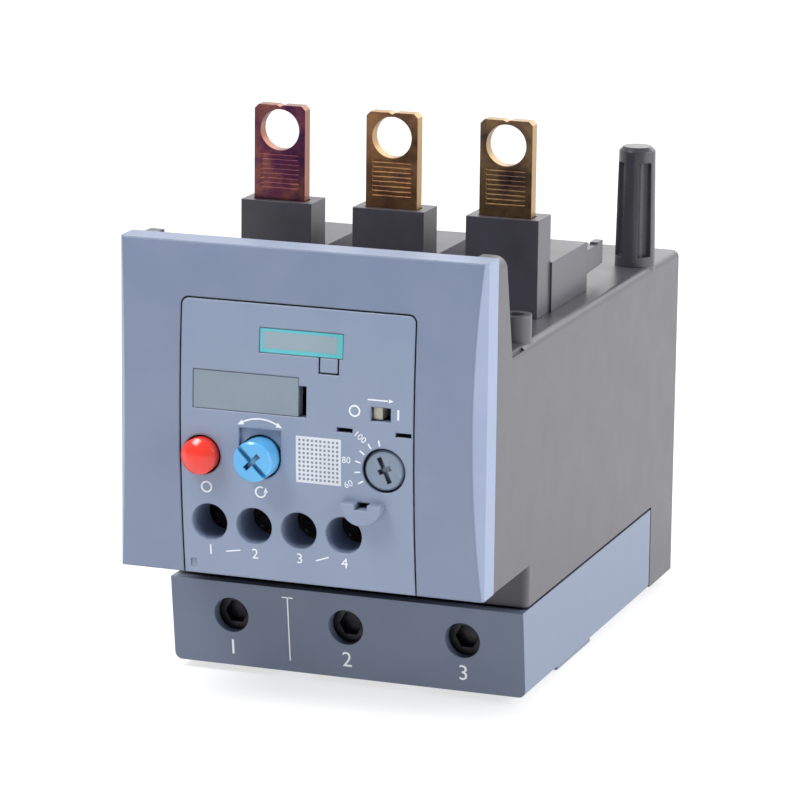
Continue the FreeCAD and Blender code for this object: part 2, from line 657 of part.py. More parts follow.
def make_housing():
    cuts = [housing_hollow()]
    # between the lugs the front wall is lower
    cuts.append(block(("lug_width - half_width", "cover_back - housing_wall", "wall_top"),
                      ("half_width - lug_width", "wall_foot", "lug_top + lug_rise")))
    for index in (1, 2, 3):
        x = pole(index, "pole_pitch")
        cuts.append(block((f"{x} - tab_width / 2 - tab_clear", "tab_face - tab_clear", "deck_under - tab_clear"),
                          (f"{x} + tab_width / 2 + tab_clear", "tab_rear + tab_clear", "deck_top + tab_clear")))
        x = pole(index, "clamp_pitch")
        cuts.append(block((f"{x} - bar_width / 2 - bar_clear", "bar_face - bar_clear", "floor_under - bar_clear"),
                          (f"{x} + bar_width / 2 + bar_clear", "bar_rear + bar_clear", "floor_top + bar_clear")))
    for index in range(4):
        x = f"{index} * aux_pitch - aux_left"
        cuts.append(block((f"{x} - wire_width / 2", "cover_back + wire_front", "head_base - housing_wall"),
                          (f"{x} + wire_width / 2", "cover_back + wire_front + wire_length",
                           "head_floor + housing_wall")))
    cuts.append(rod(("peg_left", "peg_y", "deck_under - running_gap"), "peg_spigot + running_gap",
                    "housing_wall + 2 * running_gap", "z"))
    # the peg's seat and the ring bosses fill the rounded edge under them
    bosses = [rod(("peg_left", "peg_y", "deck_under"), "peg_foot", "housing_wall", "z")]
    for side in ("-1", "1"):
        x = f"{side} * (half_width - boss_radius - edge_break)"
        bosses.append(rod((x, "wall_foot + boss_back", "deck_under"), "boss_radius",
                          "housing_wall + boss_height", "z"))
        cuts.append(rod((x, "wall_foot + boss_back", "deck_top"), "boss_bore", "2 * boss_height", "z"))
        cuts.append(block((f"{side} * half_width - notch_height", "wall_foot", "deck_top - notch_height"),
                          (f"{side} * half_width + notch_height", "wall_foot + notch_length", "deck_top")))
    return node(cut(fuse([housing_body()] + bosses), cuts), "base_housing")


def make_bezel():
    """The grey cover frame: crowned face, bevelled sides, hollow behind, open where the panel sits."""
    outline = [
        ("-half_width", "cover_back"),
        ("half_width", "cover_back"),
        ("half_width", "bevel_depth - face_reach"),
        ("half_width - bevel_width", "-face_reach"),
        ("bevel_width - half_width", "-face_reach"),
        ("-half_width", "bevel_depth - face_reach"),
    ]
    skin = common(slab("z", outline, "cover_top - cover_base", "cover_base"), crown(""))
    opening = slab("y", [
        ("-panel_width / 2", "cover_base - seam"),
        ("panel_width / 2", "cover_base - seam"),
        ("panel_width / 2", "panel_top"),
        ("-panel_width / 2", "panel_top"),
    ], "3 * face_reach")
    top = size("panel_top")
    round_edges(opening, "opening_radius", lambda e: runs_along(e, "y", z=top))
    frame = "panel_width / 2 + frame_wall"
    hollows = []
    for low, high in (("cover_wall - half_width", f"-({frame})"), (frame, "half_width - cover_wall")):
        hollows.append(block((low, "-face_reach", "cover_base + cover_wall"),
                             (high, "cover_back + cover_wall", "cover_top - cover_wall")))
    hollows.append(block((f"-({frame})", "-face_reach", "panel_top + frame_wall"),
                         (frame, "cover_back + cover_wall", "cover_top - cover_wall")))
    return node(cut(skin, [opening, common(fuse(hollows), crown("cover_wall"))]), "front_bezel")


def face_hole(x, z, radius):
    """A round hole through the panel along Y."""
    return rod((x, "-2 * face_reach", z), radius, "2 * face_reach + cover_back", "y")


def recess(x, z, width, height, depth):
    """A shallow rectangular recess in the crowned face, measured from the crown line."""
    return block((x, "-2 * face_reach", z), (f"({x}) + ({width})", f"{depth} - face_reach",
                                             f"({z}) + ({height})"))


def window(x, z, width, height):
    return recess(x, z, width, height, "cover_depth")


def make_panel():
    """The light grey panel: crowned face with every hole and recess, walls behind, terminal strip."""
    outline = slab("y", [
        ("-panel_half", "cover_base"),
        ("panel_half", "cover_base"),
        ("panel_half", "panel_ceiling"),
        ("-panel_half", "panel_ceiling"),
    ], "2 * cover_depth")
    bind(outline, "Placement.Base.y", "cover_back - cover_depth")
    top = size("panel_ceiling")
    round_edges(outline, "opening_radius - seam", lambda e: runs_along(e, "y", z=top))
    box = common(outline, crown(""))
    room = common(block(("panel_wall - panel_half", "-face_reach", "cover_base + panel_wall"),
                        ("panel_half - panel_wall", "cover_back + cover_wall", "panel_ceiling - panel_wall")),
                  crown("panel_wall"))
    strip = block(("-aux_left - strip_margin + seam", "panel_wall - face_reach", "aux_z - strip_height / 2"),
                  ("3 * aux_pitch - aux_left + strip_margin", "strip_rear", "aux_z + strip_height / 2"))
    lug = rod(("seal_left", "-face_reach - seal_reach", "seal_z"), "seal_radius", "seal_reach + panel_wall", "y")
    lug = cut(lug, [block(("seal_left - 2 * seal_radius", "-2 * face_reach", "seal_z"),
                          ("seal_left + 2 * seal_radius", "0", "seal_z + 2 * seal_radius"))])
    shell = fuse([cut(box, [room]), strip, lug])
    cuts = []
    for index in range(4):
        x = f"{index} * aux_pitch - aux_left"
        cuts.append(rod((x, "-2 * face_reach", "aux_z"), "funnel_radius", "2 * face_reach + cover_back + cover_depth",
                        "y"))
    cuts.append(face_hole("-stop_left", "stop_z", "stop_radius + button_gap"))
    cuts.append(face_hole("-reset_left", "reset_z", "knob_radius + button_gap"))
    cuts.append(face_hole("dial_left", "dial_z", "dial_radius + button_gap"))
    cuts.append(recess("-reset_left - well_width / 2", "reset_z", "well_width", "well_height", "well_depth"))
    cuts.append(recess("-label_left", "label_z", "label_width", "label_height", "label_depth + panel_wall / 2"))
    cuts.append(recess("label_width - label_left", "label_z", "label_slot", "label_height - label_slot",
                       "2 * panel_wall"))
    cuts.append(recess("-blank_left", "blank_z", "blank_width", "blank_height", "label_depth + panel_wall / 2"))
    slot = recess("tongue_left - tongue_gap", "blank_z - tongue_height - tongue_gap",
                  "tongue_width + 2 * tongue_gap", "tongue_height + tongue_gap", "cover_depth")
    cuts.append(cut(slot, [recess("tongue_left", "blank_z - tongue_height", "tongue_width",
                                  "2 * tongue_height", "2 * cover_depth")]))
    cuts.append(window("window_left", "window_z", "window_width", "window_height"))
    for x in ("hook_slot_inner", "hook_slot_outer"):
        cuts.append(recess(x, "hook_slot_z", "hook_slot_width", "hook_slot_height", "2 * panel_wall"))
    cuts.append(recess("key_slot_inset - panel_half", "cover_base + key_slot_inset", "key_slot_width",
                       "key_slot_height", "panel_wall"))
    cuts.append(block(("seal_left - seal_hole_width / 2", "-2 * face_reach", "seal_z - seal_hole_height"),
                      ("seal_left + seal_hole_width / 2", "2 * panel_wall - face_reach", "seal_z")))
    return node(cut(shell, cuts), "front_panel")


def inset_plate(x, z, width, height):
    """A plate that lies in a recess of the crowned face and follows its crown."""
    floor = "label_depth + panel_wall / 2 - face_reach"
    body = block((f"{x} + plate_clear", "-face_reach", f"{z} + plate_clear"),
                 (f"{x} + {width} - plate_clear", floor, f"{z} + {height} - plate_clear"))
    return common(body, crown("plate_clear"))


def make_plates():
    node(inset_plate("-label_left", "label_z", "label_width", "label_height"), "label_plate")
    node(inset_plate("-blank_left", "blank_z", "blank_width", "blank_height"), "blank_plate")


def make_terminal_block():
    """The blue-grey terminal block: sloping front, three clamp chambers open below, core-outs, feet."""
    body = slab("x", [
        ("block_front", "block_top"),
        ("body_front", "block_base"),
        ("block_back", "block_base"),
        ("block_back", "block_top"),
    ], "body_width")
    side, base = size("half_width"), size("block_base")
    round_edges(body, "block_radius", lambda e: runs_along(e, "y", x=side, z=base))
    feet = []
    for edge in ("block_radius - half_width", "half_width - block_radius - foot_width"):
        feet.append(block((edge, "block_front + foot_inset", "0"),
                          (f"{edge} + foot_width", "block_front + foot_inset + foot_length",
                           "block_base + block_radius")))
    cuts = []
    for index in (1, 2, 3):
        x = pole(index, "clamp_pitch")
        cuts.append(block((f"{x} - chamber_width / 2", "chamber_front", "-foot_height"),
                          (f"{x} + chamber_width / 2", "chamber_rear", "chamber_roof")))
        cuts.append(rod((x, "block_front - block_lip", "clamp_z"), "access_radius", "block_wall + 2 * block_lip", "y"))
        cuts.append(block((f"{x} - bar_width / 2 - bar_clear", "bar_face - bar_clear", "chamber_roof - bar_clear"),
                          (f"{x} + bar_width / 2 + bar_clear", "bar_rear + bar_clear", "block_top + bar_clear")))
        cuts += core_outs(x)
    return node(cut(fuse([body] + feet), cuts), "terminal_block")


def core_outs(x):
    """The pockets that lighten the block behind a clamp chamber."""
    pockets = []
    for row in range(int(size("core_rows"))):
        front = f"chamber_rear + core_wall + {row} * (core_length + core_rib)"
        pockets.append(block((f"{x} - core_width / 2", front, "-foot_height"),
                             (f"{x} + core_width / 2", f"{front} + core_length", "block_top - core_wall")))
    return pockets


def make_carrier(index):
    """An insulating carrier: the post that holds a line tab, and the low step behind it."""
    x = pole(index, "pole_pitch")
    profile = [
        ("post_front", "deck_top"),
        ("post_rear + edge_break", "deck_top"),
        ("post_rear + edge_break", "step_top"),
        ("post_rear", "step_top + edge_break"),
        ("post_rear", "post_top"),
        ("post_front", "post_top"),
    ]
    post = slab("x", profile, "post_width")
    bind(post, "Placement.Base.x", x)
    step = block((f"{x} - step_width / 2", "post_rear", "deck_top"), (f"{x} + step_width / 2", "step_rear", "step_top"))
    slot = block((f"{x} - tab_width / 2 - tab_clear", "tab_face - tab_clear", "deck_top - tab_clear"),
                 (f"{x} + tab_width / 2 + tab_clear", "tab_rear + tab_clear", "post_top + tab_clear"))
    return node(cut(fuse([post, step]), [slot]), f"tab_carrier_{index}")


def make_tab(index):
    """A copper line tab: punched hole, cut corners, grip grooves, and a leg back to the heater."""
    x = pole(index, "pole_pitch")
    front = [
        ("-tab_width / 2", "leg_under"),
        ("tab_width / 2", "leg_under"),
        ("tab_width / 2", "tab_top - tab_corner"),
        ("tab_width / 2 - tab_corner", "tab_top"),
        ("2 * tab_notch", "tab_top"),
        ("0 * tab_notch", "tab_top - tab_notch"),
        ("-2 * tab_notch", "tab_top"),
        ("tab_corner - tab_width / 2", "tab_top"),
        ("-tab_width / 2", "tab_top - tab_corner"),
    ]
    blade = slab("y", front, "tab_wall")
    bind(blade, "Placement.Base.x", x)
    bind(blade, "Placement.Base.y", "tab_face + tab_wall / 2")
    leg = block((f"{x} - tab_width / 2", "tab_face", "leg_under"),
                (f"{x} + tab_width / 2", "tab_face + tab_leg", "leg_top"))
    cuts = [rod((x, "tab_face - tab_wall", "tab_top - tab_hole_drop"), "tab_hole", "3 * tab_wall", "y")]
    for row in range(int(size("groove_count"))):
        low = f"tab_top - tab_hole_drop - tab_hole - groove_pitch * {row + 1}"
        cuts.append(block((f"{x} + groove_inset - tab_width / 2", "tab_face - groove_depth", low),
                          (f"{x} + tab_width / 2 - groove_inset", "tab_face + groove_depth", f"{low} + groove_width")))
    return node(cut(fuse([blade, leg]), cuts), f"line_tab_{index}")


def make_peg():
    """The guide peg on the deck: tapered shaft with four flutes, chamfered end, spigot into the deck."""
    top = "deck_top + peg_height"
    shaft = cone(("peg_left", "peg_y", "deck_top"), "peg_foot", "peg_radius", "peg_height - peg_chamfer", "z")
    tip = cone(("peg_left", "peg_y", f"{top} - peg_chamfer"), "peg_radius", "peg_radius - peg_chamfer",
               "peg_chamfer", "z")
    flutes = []
    for x_side in ("-1", "1"):
        for y_side in ("-1", "1"):
            flutes.append(rod((f"peg_left + {x_side} * flute_offset", f"peg_y + {y_side} * flute_offset",
                               "deck_top + peg_collar"), "flute_radius", "peg_height - peg_collar - peg_cap", "z"))
    spigot = rod(("peg_left", "peg_y", "deck_under"), "peg_spigot", "housing_wall", "z")
    return node(fuse([cut(fuse([shaft, tip]), flutes), spigot]), "guide_peg")


def make_hook():
    """The hook at the back of the right carrier that catches the contactor."""
    right = "pole_pitch + step_width / 2"
    top = "step_top - hook_drop"
    body = slab("x", [
        ("step_rear", f"{top} - hook_height"),
        ("step_rear + hook_length", f"{top} - hook_height + edge_break"),
        ("step_rear + hook_length", top),
        ("step_rear + hook_length - 2 * hook_wall", top),
        ("step_rear + hook_length - 2 * hook_wall", f"{top} - edge_break"),
        ("step_rear", f"{top} - edge_break"),
    ], "hook_wall")
    bind(body, "Placement.Base.x", f"{right} - hook_wall / 2")
    return node(body, "coupling_hook")


def make_stop_button():
    dome = "(stop_radius * stop_radius + stop_dome * stop_dome) / (2 * stop_dome)"
    return node(turned([
        ("0 * stop_radius", "-face_reach - stop_proud", dome, -1),
        ("stop_radius", "stop_dome - face_reach - stop_proud"),
        ("stop_radius", "collar_front"),
        ("stop_stem", "collar_front"),
        ("stop_stem", "chassis_rear + clip_gap"),
        ("stop_stem + clip_rise", "chassis_rear + clip_gap"),
        ("stop_stem", "chassis_rear + clip_gap + clip_length"),
        ("0 * stop_radius", "chassis_rear + clip_gap + clip_length"),
    ], "-stop_left", "stop_z"), "stop_button")


def make_reset():
    """The reset plunger, and the knob that turns on its end between its two settings."""
    knob_face = "-face_reach - knob_proud"
    bore_end = f"{knob_face} + knob_length - 2 * reset_stem"
    node(turned([
        ("0 * reset_stem", f"{bore_end} + running_gap"),
        ("reset_stem", f"{bore_end} + running_gap"),
        ("reset_stem", "collar_front"),
        ("reset_collar", "collar_front"),
        ("reset_collar", "collar_back"),
        ("reset_stem", "collar_back"),
        ("reset_stem", "chassis_rear + clip_gap"),
        ("reset_stem + clip_rise", "chassis_rear + clip_gap"),
        ("reset_stem", "chassis_rear + clip_gap + clip_length"),
        ("0 * reset_stem", "chassis_rear + clip_gap + clip_length"),
    ], "-reset_left", "reset_z"), "reset_plunger")
    knob = turned([
        ("0 * knob_radius", knob_face),
        ("knob_radius - edge_break", knob_face),
        ("knob_radius", f"{knob_face} + edge_break"),
        ("knob_radius", f"{knob_face} + knob_length"),
        ("reset_stem + running_gap", f"{knob_face} + knob_length"),
        ("reset_stem + running_gap", bore_end),
        ("0 * knob_radius", bore_end),
    ], "-reset_left", "reset_z")
    slots = []
    for angle, length in ((45.0, "2 * knob_radius"), (-45.0, "knob_radius")):
        slot = block((f"-({length}) / 2", "-knob_slot_depth", "-knob_slot / 2"),
                     (f"({length}) / 2", "knob_slot_depth", "knob_slot / 2"))
        slots.append(turn_about_y(slot, angle, "-reset_left", knob_face, "reset_z"))
    return node(cut(knob, slots), "reset_knob")


def turn_about_y(item, angle, x, y, z):
    """A copy of a piece made at the origin, turned about Y and moved."""
    holder = doc.addObject("Part::Compound", "Turned")
    holder.Links = [item]
    holder.Placement = Placement(Vector(), Rotation(Vector(0, 1, 0), angle))
    for letter, text in zip("xyz", (x, y, z)):
        bind(holder, f"Placement.Base.{letter}", text)
    return holder


def coil(turns, height, radius, section):
    """A wire wound about Z in short runs. The section is a list of (outwards, along the axis) points."""
    count = round(turns * RUNS_A_TURN)
    outlines = []
    for step in range(count + 1):
        turn = Rotation(Vector(0, 0, 1), 360 * step / RUNS_A_TURN)
        corners = [turn.multVec(Vector(radius + out, 0, up + height * step / count)) for out, up in section]
        outlines.append(Part.makePolygon(corners + corners[:1]))
    return Part.makeLoft(outlines, True, True)


def make_spring(name, x, z, stem, front):
    """A coil spring round a stem, between its collar and the chassis plate."""
    wire = size("spring_wire")
    radius = size(f"{stem} + spring_gap") + wire
    start = size(front) + wire + size("washer_gap")
    length = size("chassis_face - washer_gap") - wire - start
    spring = doc.addObject("Part::Feature", "Spring")
    section = [(wire, 0), (0, wire), (-wire, 0), (0, -wire)]
    spring.Shape = coil(size("spring_turns"), length, radius, section)
    spring.Placement = Placement(Vector(size(x), start, size(z)), TURN_TO["y"])
    return node(spring, name)


def cam_outline():
    """Spiral cam: the radius grows evenly with the angle over the scale, and falls back over the rest."""
    middle = size("cam_middle")
    lift = size("cam_lift")
    reach = size("cam_scale")
    points = []
    for step in range(24):
        angle = step * 15.0 - 180.0
        share = angle / reach if abs(angle) <= reach / 2 else math.copysign(
            (180.0 - abs(angle)) / (360.0 - reach), angle)
        radius = middle + lift * share
        turn = math.radians(angle)
        points.append(Vector(-radius * math.cos(turn), 0, radius * math.sin(turn)))
    return Part.Face(Part.makePolygon(points + points[:1]))


def make_dial():
    """The setting dial: slotted disc in the panel, stem through the chassis, spiral cam behind it."""
    face = "dial_sunk - face_reach"
    disc = turned([
        ("0 * dial_radius", face),
        ("dial_radius - edge_break", face),
        ("dial_radius", f"{face} + edge_break"),
        ("dial_radius", f"{face} + dial_length"),
        ("dial_stem", f"{face} + dial_length"),
        ("dial_stem", "stem_end"),
        ("0 * dial_radius", "stem_end"),
    ], "dial_left", "dial_z")
    cam = doc.addObject("Part::Feature", "Cam")
    cam.Shape = cam_outline().extrude(Vector(0, size("cam_width"), 0))
    cam.Placement = Placement(Vector(size("dial_left"), size("cam_front"), size("dial_z")), Rotation())
    slots = []
    for angle, length in ((65.0, "dial_cross"), (-25.0, "dial_cross / 2")):
        slot = block((f"-({length}) / 2", "-knob_slot_depth", "-knob_slot / 2"),
                     (f"({length}) / 2", "knob_slot_depth", "knob_slot / 2"))
        slots.append(turn_about_y(slot, angle, "dial_left", face, "dial_z"))
    return node(cut(fuse([disc, cam]), slots), "setting_dial")


def make_adjusting_slide():
    right = "dial_left - cam_middle - cam_gap"
    low = "dial_z - adjust_height / 2"
    return node(block((f"{right} - adjust_length", "cam_front", low),
                      (right, "cam_front + cam_width", f"{low} + adjust_height")), "adjusting_slide")


def make_chassis():
    """The mechanism chassis: plate, cheeks, terminal shelf, and the ribs that guide the adjusting slide."""
    outline = [
        ("-chassis_half", "cover_back + chassis_gap"),
        ("cheek_wall - chassis_half", "cover_back + chassis_gap"),
        ("cheek_wall - chassis_half", "chassis_face"),
        ("chassis_half - cheek_wall", "chassis_face"),
        ("chassis_half - cheek_wall", "cover_back + chassis_gap"),
        ("chassis_half", "cover_back + chassis_gap"),
        ("chassis_half", "chassis_rear"),
        ("-chassis_half", "chassis_rear"),
    ]
    base = "head_floor + chassis_gap"
    frame = slab("z", outline, f"deck_under - chassis_gap - ({base})", base)
    shelf = block(("-aux_left - strip_margin", "plate_front + plate_wall", "aux_z - strip_height / 2"),
                  ("3 * aux_pitch - aux_left + strip_margin", "chassis_face", "aux_z + strip_height / 2"))
    right = "dial_left - cam_middle - cam_gap - cam_lift"
    ribs = []
    for low in ("dial_z + adjust_height / 2 + rib_gap", "dial_z - adjust_height / 2 - rib_gap - rib_wall"):
        ribs.append(block((f"{right} - adjust_length", "chassis_rear", low),
                          (right, "cam_front + cam_width", f"{low} + rib_wall")))
    holes = [rod(("-stop_left", "chassis_face", "stop_z"), "stop_stem + running_gap", "chassis_wall", "y"),
             rod(("-reset_left", "chassis_face", "reset_z"), "reset_stem + running_gap", "chassis_wall", "y"),
             rod(("dial_left", "chassis_face", "dial_z"), "dial_stem + running_gap", "chassis_wall", "y"),
             rod(("pin_x", "chassis_face", "pivot_z"), "pin_radius", "chassis_wall", "y")]
    for left, right in BRIDGES.values():
        holes.append(rod((f"({left} + {right}) / 2", "chassis_face", "aux_z + riser_top - bridge_height / 2"),
                         "bridge_plunger + running_gap", "chassis_wall", "y"))
    for index in range(4):
        holes.append(rod((f"{index} * aux_pitch - aux_left", "plate_front", "aux_z"), "aux_shank + washer_gap",
                         "chassis_rear - plate_front", "y"))
    return node(cut(fuse([frame, shelf] + ribs), holes), "mechanism_chassis")


def make_test_slider():
    """The test slider: the finger in the window, and the bar across the chassis that carries it."""
    low = "window_z + slider_gap"
    front = block(("window_left + slider_gap", "slider_sunk - face_reach", low),
                  ("window_left + window_width / 2", "chassis_face - slider_gap", "window_z + window_height - slider_gap"))
    bar = block(("window_left + window_width / 2 - slider_reach", "chassis_face - slider_gap - slider_bar", "bar_z"),
                ("window_left + window_width / 2", "chassis_face - slider_gap", "bar_z + slider_bar"))
    return node(fuse([front, bar]), "test_slider")


def make_snap_spring():
    """The bowed snap spring above the test slider's bar."""
    y = "chassis_face - slider_gap - snap_width"
    z = "bar_z + slider_bar + snap_rise - snap_radius"
    ring = cut(rod(("0 * snap_radius", y, z), "snap_radius", "snap_width", "y"),
               [rod(("0 * snap_radius", f"{y} - snap_width", z), "snap_radius - snap_wall", "3 * snap_width", "y")])
    return node(common(ring, block(("-snap_radius", y, f"{z} + snap_radius - 2 * snap_rise / 3"),
                                   ("snap_radius", f"{y} + snap_width", f"{z} + 2 * snap_radius"))), "snap_spring")


def make_aux_terminal(index, shift):
    """A brass terminal plate on the shelf, with a riser up to its fixed contact."""
    x = f"{index} * aux_pitch - aux_left"
    riser = f"{x} + {shift}"
    plate = block((f"{x} - washer_side / 2", "plate_front", "aux_z - plate_height / 2"),
                  (f"{x} + washer_side / 2", "plate_front + plate_wall", "aux_z + plate_height / 2"))
    up = block((f"{riser} - riser_width / 2", "plate_front", "aux_z + plate_height / 2 - riser_width"),
               (f"{riser} + riser_width / 2", "plate_front + plate_wall", "aux_z + riser_top"))
    parts = [plate, up]
    hole = rod((x, "plate_front - plate_wall", "aux_z"), "aux_shank + washer_gap", "3 * plate_wall", "y")
    return node(cut(fuse(parts), [hole]), f"aux_terminal_{index + 1}")


def make_aux_screw(index):
    """A clamping washer, and the slotted screw that turns in it."""
    x = f"{index} * aux_pitch - aux_left"
    washer = block((f"{x} - washer_side / 2", "washer_back - washer_wall", "aux_z - washer_side / 2"),
                   (f"{x} + washer_side / 2", "washer_back", "aux_z + washer_side / 2"))
    hole = rod((x, "washer_back - 2 * washer_wall", "aux_z"), "aux_shank + running_gap", "3 * washer_wall", "y")
    node(cut(washer, [hole]), f"aux_washer_{index + 1}")
    face = "head_back - aux_head_length"
    screw = turned([
        ("0 * aux_head", face),
        ("aux_head", face),
        ("aux_head", "head_back"),
        ("aux_shank", "head_back"),
        ("aux_shank", "head_back + aux_shank_length"),
        ("0 * aux_head", "head_back + aux_shank_length"),
    ], x, "aux_z")
    slots = [block((f"{x} - aux_head", f"{face} - aux_slot_depth", "aux_z - aux_slot / 2"),
                   (f"{x} + aux_head", f"{face} + aux_slot_depth", "aux_z + aux_slot / 2")),
             block((f"{x} - aux_slot / 2", f"{face} - aux_slot_depth", "aux_z - aux_head * 2 / 3"),
                   (f"{x} + aux_slot / 2", f"{face} + aux_slot_depth", "aux_z + aux_head * 2 / 3"))]
    node(cut(screw, slots), f"aux_screw_{index + 1}")


def make_bridge(name, place_name, gap):
    """A contact bridge behind two risers, on a plunger that runs through the chassis plate."""
    left, right = BRIDGES[place_name]
    front = f"plate_front + plate_wall + bridge_gap + {gap}"
    top = "aux_z + riser_top"
    bar = block((f"{left} - riser_width / 2", front, f"{top} - bridge_height"),
                (f"{right} + riser_width / 2", f"{front} + bridge_wall", top))
    plunger = rod((f"({left} + {right}) / 2", f"{front} + bridge_wall / 2", f"{top} - bridge_height / 2"),
                  "bridge_plunger", "plunger_length", "y")
    node(fuse([bar, plunger]), name)


# Left and right riser of the closed and the open contact.
BRIDGES = {
    "closed": ("closed_shift_left - aux_left", "aux_pitch - aux_left - closed_shift_right"),
    "open": ("2 * aux_pitch - aux_left", "3 * aux_pitch - aux_left"),
}


def make_clamp(index):
    """A clamp cage that rides on its screw."""
    x = pole(index, "clamp_pitch")
    cage = block((f"{x} - cage_width / 2", "cage_face", "cage_under"), (f"{x} + cage_width / 2", "cage_rear", "cage_top"))
    room = block((f"{x} - cage_width / 2 + cage_wall", "cage_face + cage_front", "cage_under - cage_wall"),
                 (f"{x} + cage_width / 2 - cage_wall", "cage_rear - cage_back", "cage_top + cage_wall"))
    thread = rod((x, "cage_face - cage_front", "clamp_z"), "screw_shank + running_gap", "3 * cage_front", "y")
    node(cut(cage, [room, thread]), f"clamp_cage_{index}")
    screw = turned([
        ("0 * screw_head", "screw_face"),
        ("screw_head - edge_break", "screw_face"),
        ("screw_head", "screw_face + edge_break"),
        ("screw_head", "screw_neck"),
        ("screw_shank", "screw_neck"),
        ("screw_shank", "screw_tip"),
        ("0 * screw_head", "screw_tip"),
    ], x, "clamp_z")
    socket = doc.addObject("Part::Prism", "Socket")
    socket.Polygon = 6
    bind(socket, "Circumradius", "screw_socket / 1.7320508")
    bind(socket, "Height", "2 * screw_socket_depth")
    place(socket, (x, "screw_face - screw_socket_depth", "clamp_z"), "y")
    node(cut(screw, [socket]), f"clamp_screw_{index}")


def make_load_bar(index):
    """A load bar from the clamp up into the housing and back under the bimetal strip."""
    bar = slab("x", [
        ("bar_face", "block_base + bar_foot"),
        ("bar_rear", "block_base + bar_foot"),
        ("bar_rear", "bar_under"),
        ("bar_face + bar_leg", "bar_under"),
        ("bar_face + bar_leg", "bar_top"),
        ("bar_face", "bar_top"),
    ], "bar_width")
    bind(bar, "Placement.Base.x", pole(index, "clamp_pitch"))
    node(bar, f"load_bar_{index}")


def make_bimetal(index):
    """A bimetal strip on the load bar, with the finger that moves the trip slides."""
    strip = slab("x", [
        ("strip_y", "bar_top + strip_gap"),
        ("strip_y + strip_width", "bar_top + strip_gap"),
        ("strip_y + strip_width", "shoulder_z"),
        ("strip_y + finger_width", "shoulder_z"),
        ("strip_y + finger_width", "finger_top"),
        ("strip_y", "finger_top"),
    ], "strip_wall")
    bind(strip, "Placement.Base.x", pole(index, "pole_pitch"))
    node(strip, f"bimetal_strip_{index}")


def make_heater(index):
    """A heater ribbon round its strip, with a lead down to the load bar and one up to the line tab."""
    wall = size("ribbon_wall")
    width = size("ribbon_width")
    radius = size("coil_radius")
    height = size("coil_pitch * coil_turns")
    ribbon = [(-wall / 2, -width / 2), (wall / 2, -width / 2), (wall / 2, width / 2), (-wall / 2, width / 2)]
    rise = size("coil_start")
    reach = size("leg_under - bar_top") - rise - height
    corner = Vector(radius - wall, -width / 2, 0)
    lower = Part.makeBox(2 * wall, width, rise + width / 4, corner - Vector(0, 0, rise))
    upper = Part.makeBox(2 * wall, width, reach + width / 4, corner + Vector(0, 0, height - width / 4))
    winding = doc.addObject("Part::Feature", "Winding")
    winding.Shape = coil(size("coil_turns"), height, radius, ribbon).multiFuse([lower, upper])
    spot = Vector(size(pole(index, "pole_pitch")), size("coil_y"), size("bar_top") + rise)
    winding.Placement = Placement(spot, Rotation(Vector(0, 0, 1), 90))
    node(winding, f"heater_winding_{index}")


def make_slide(name, z, travel, with_arm):
    """A trip slide across the poles, notched for each strip's finger."""
    notches = []
    for index in (1, 2, 3):
        x = pole(index, "pole_pitch")
        notches.append(block((f"{x} - strip_wall / 2 - finger_clear - {travel}", "strip_y - finger_clear",
                              f"{z} - slide_wall"),
                             (f"{x} + strip_wall / 2 + finger_clear", "slide_back + finger_clear",
                              f"{z} + 2 * slide_wall")))
    plate = block(("-pole_pitch - slide_margin", "slide_y", z), ("pole_pitch + slide_margin", "slide_back", f"{z} + slide_wall"))
    parts = [plate]
    if with_arm:
        parts.append(block(("arm_right - arm_width", "stem_end", z), ("arm_right", "slide_y", f"{z} + slide_wall")))
    node(cut(fuse(parts), notches), name)


def make_lever():
    """The trip lever and the pin that it turns on."""
    blade = block(("lever_left", "lever_front", "pivot_z - lever_drop"),
                  ("lever_left + lever_wall", "lever_front + lever_depth", "pivot_z"))
    eye = rod(("pin_x", "lever_front", "pivot_z"), "lever_eye", "lever_depth", "y")
    bore = rod(("pin_x", "lever_front - lever_depth", "pivot_z"), "pin_radius + running_gap", "3 * lever_depth", "y")
    node(cut(fuse([blade, eye]), [bore]), "trip_lever")
    node(rod(("pin_x", "chassis_face", "pivot_z"), "pin_radius",
             "lever_front + lever_depth + pin_tail - chassis_face", "y"), "lever_pin")


def make_partitions():
    """The walls between the poles, with windows that carry the trip slides."""
    walls = []
    for side in ("-1", "1"):
        x = f"{side} * pole_pitch / 2"
        wall = block((f"{x} - partition_wall / 2", "body_front + housing_wall + partition_gap",
                      "floor_top + partition_gap"),
                     (f"{x} + partition_wall / 2", "shell_back - partition_gap", "deck_under - partition_gap"))
        hole = block((f"{x} - partition_wall", "slide_y - window_clear", "differential_z - window_clear"),
                     (f"{x} + partition_wall", "slide_back + window_clear", "trip_z + slide_wall + window_clear"))
        walls.append(cut(wall, [hole]))
    node(compound(walls), "pole_partitions")


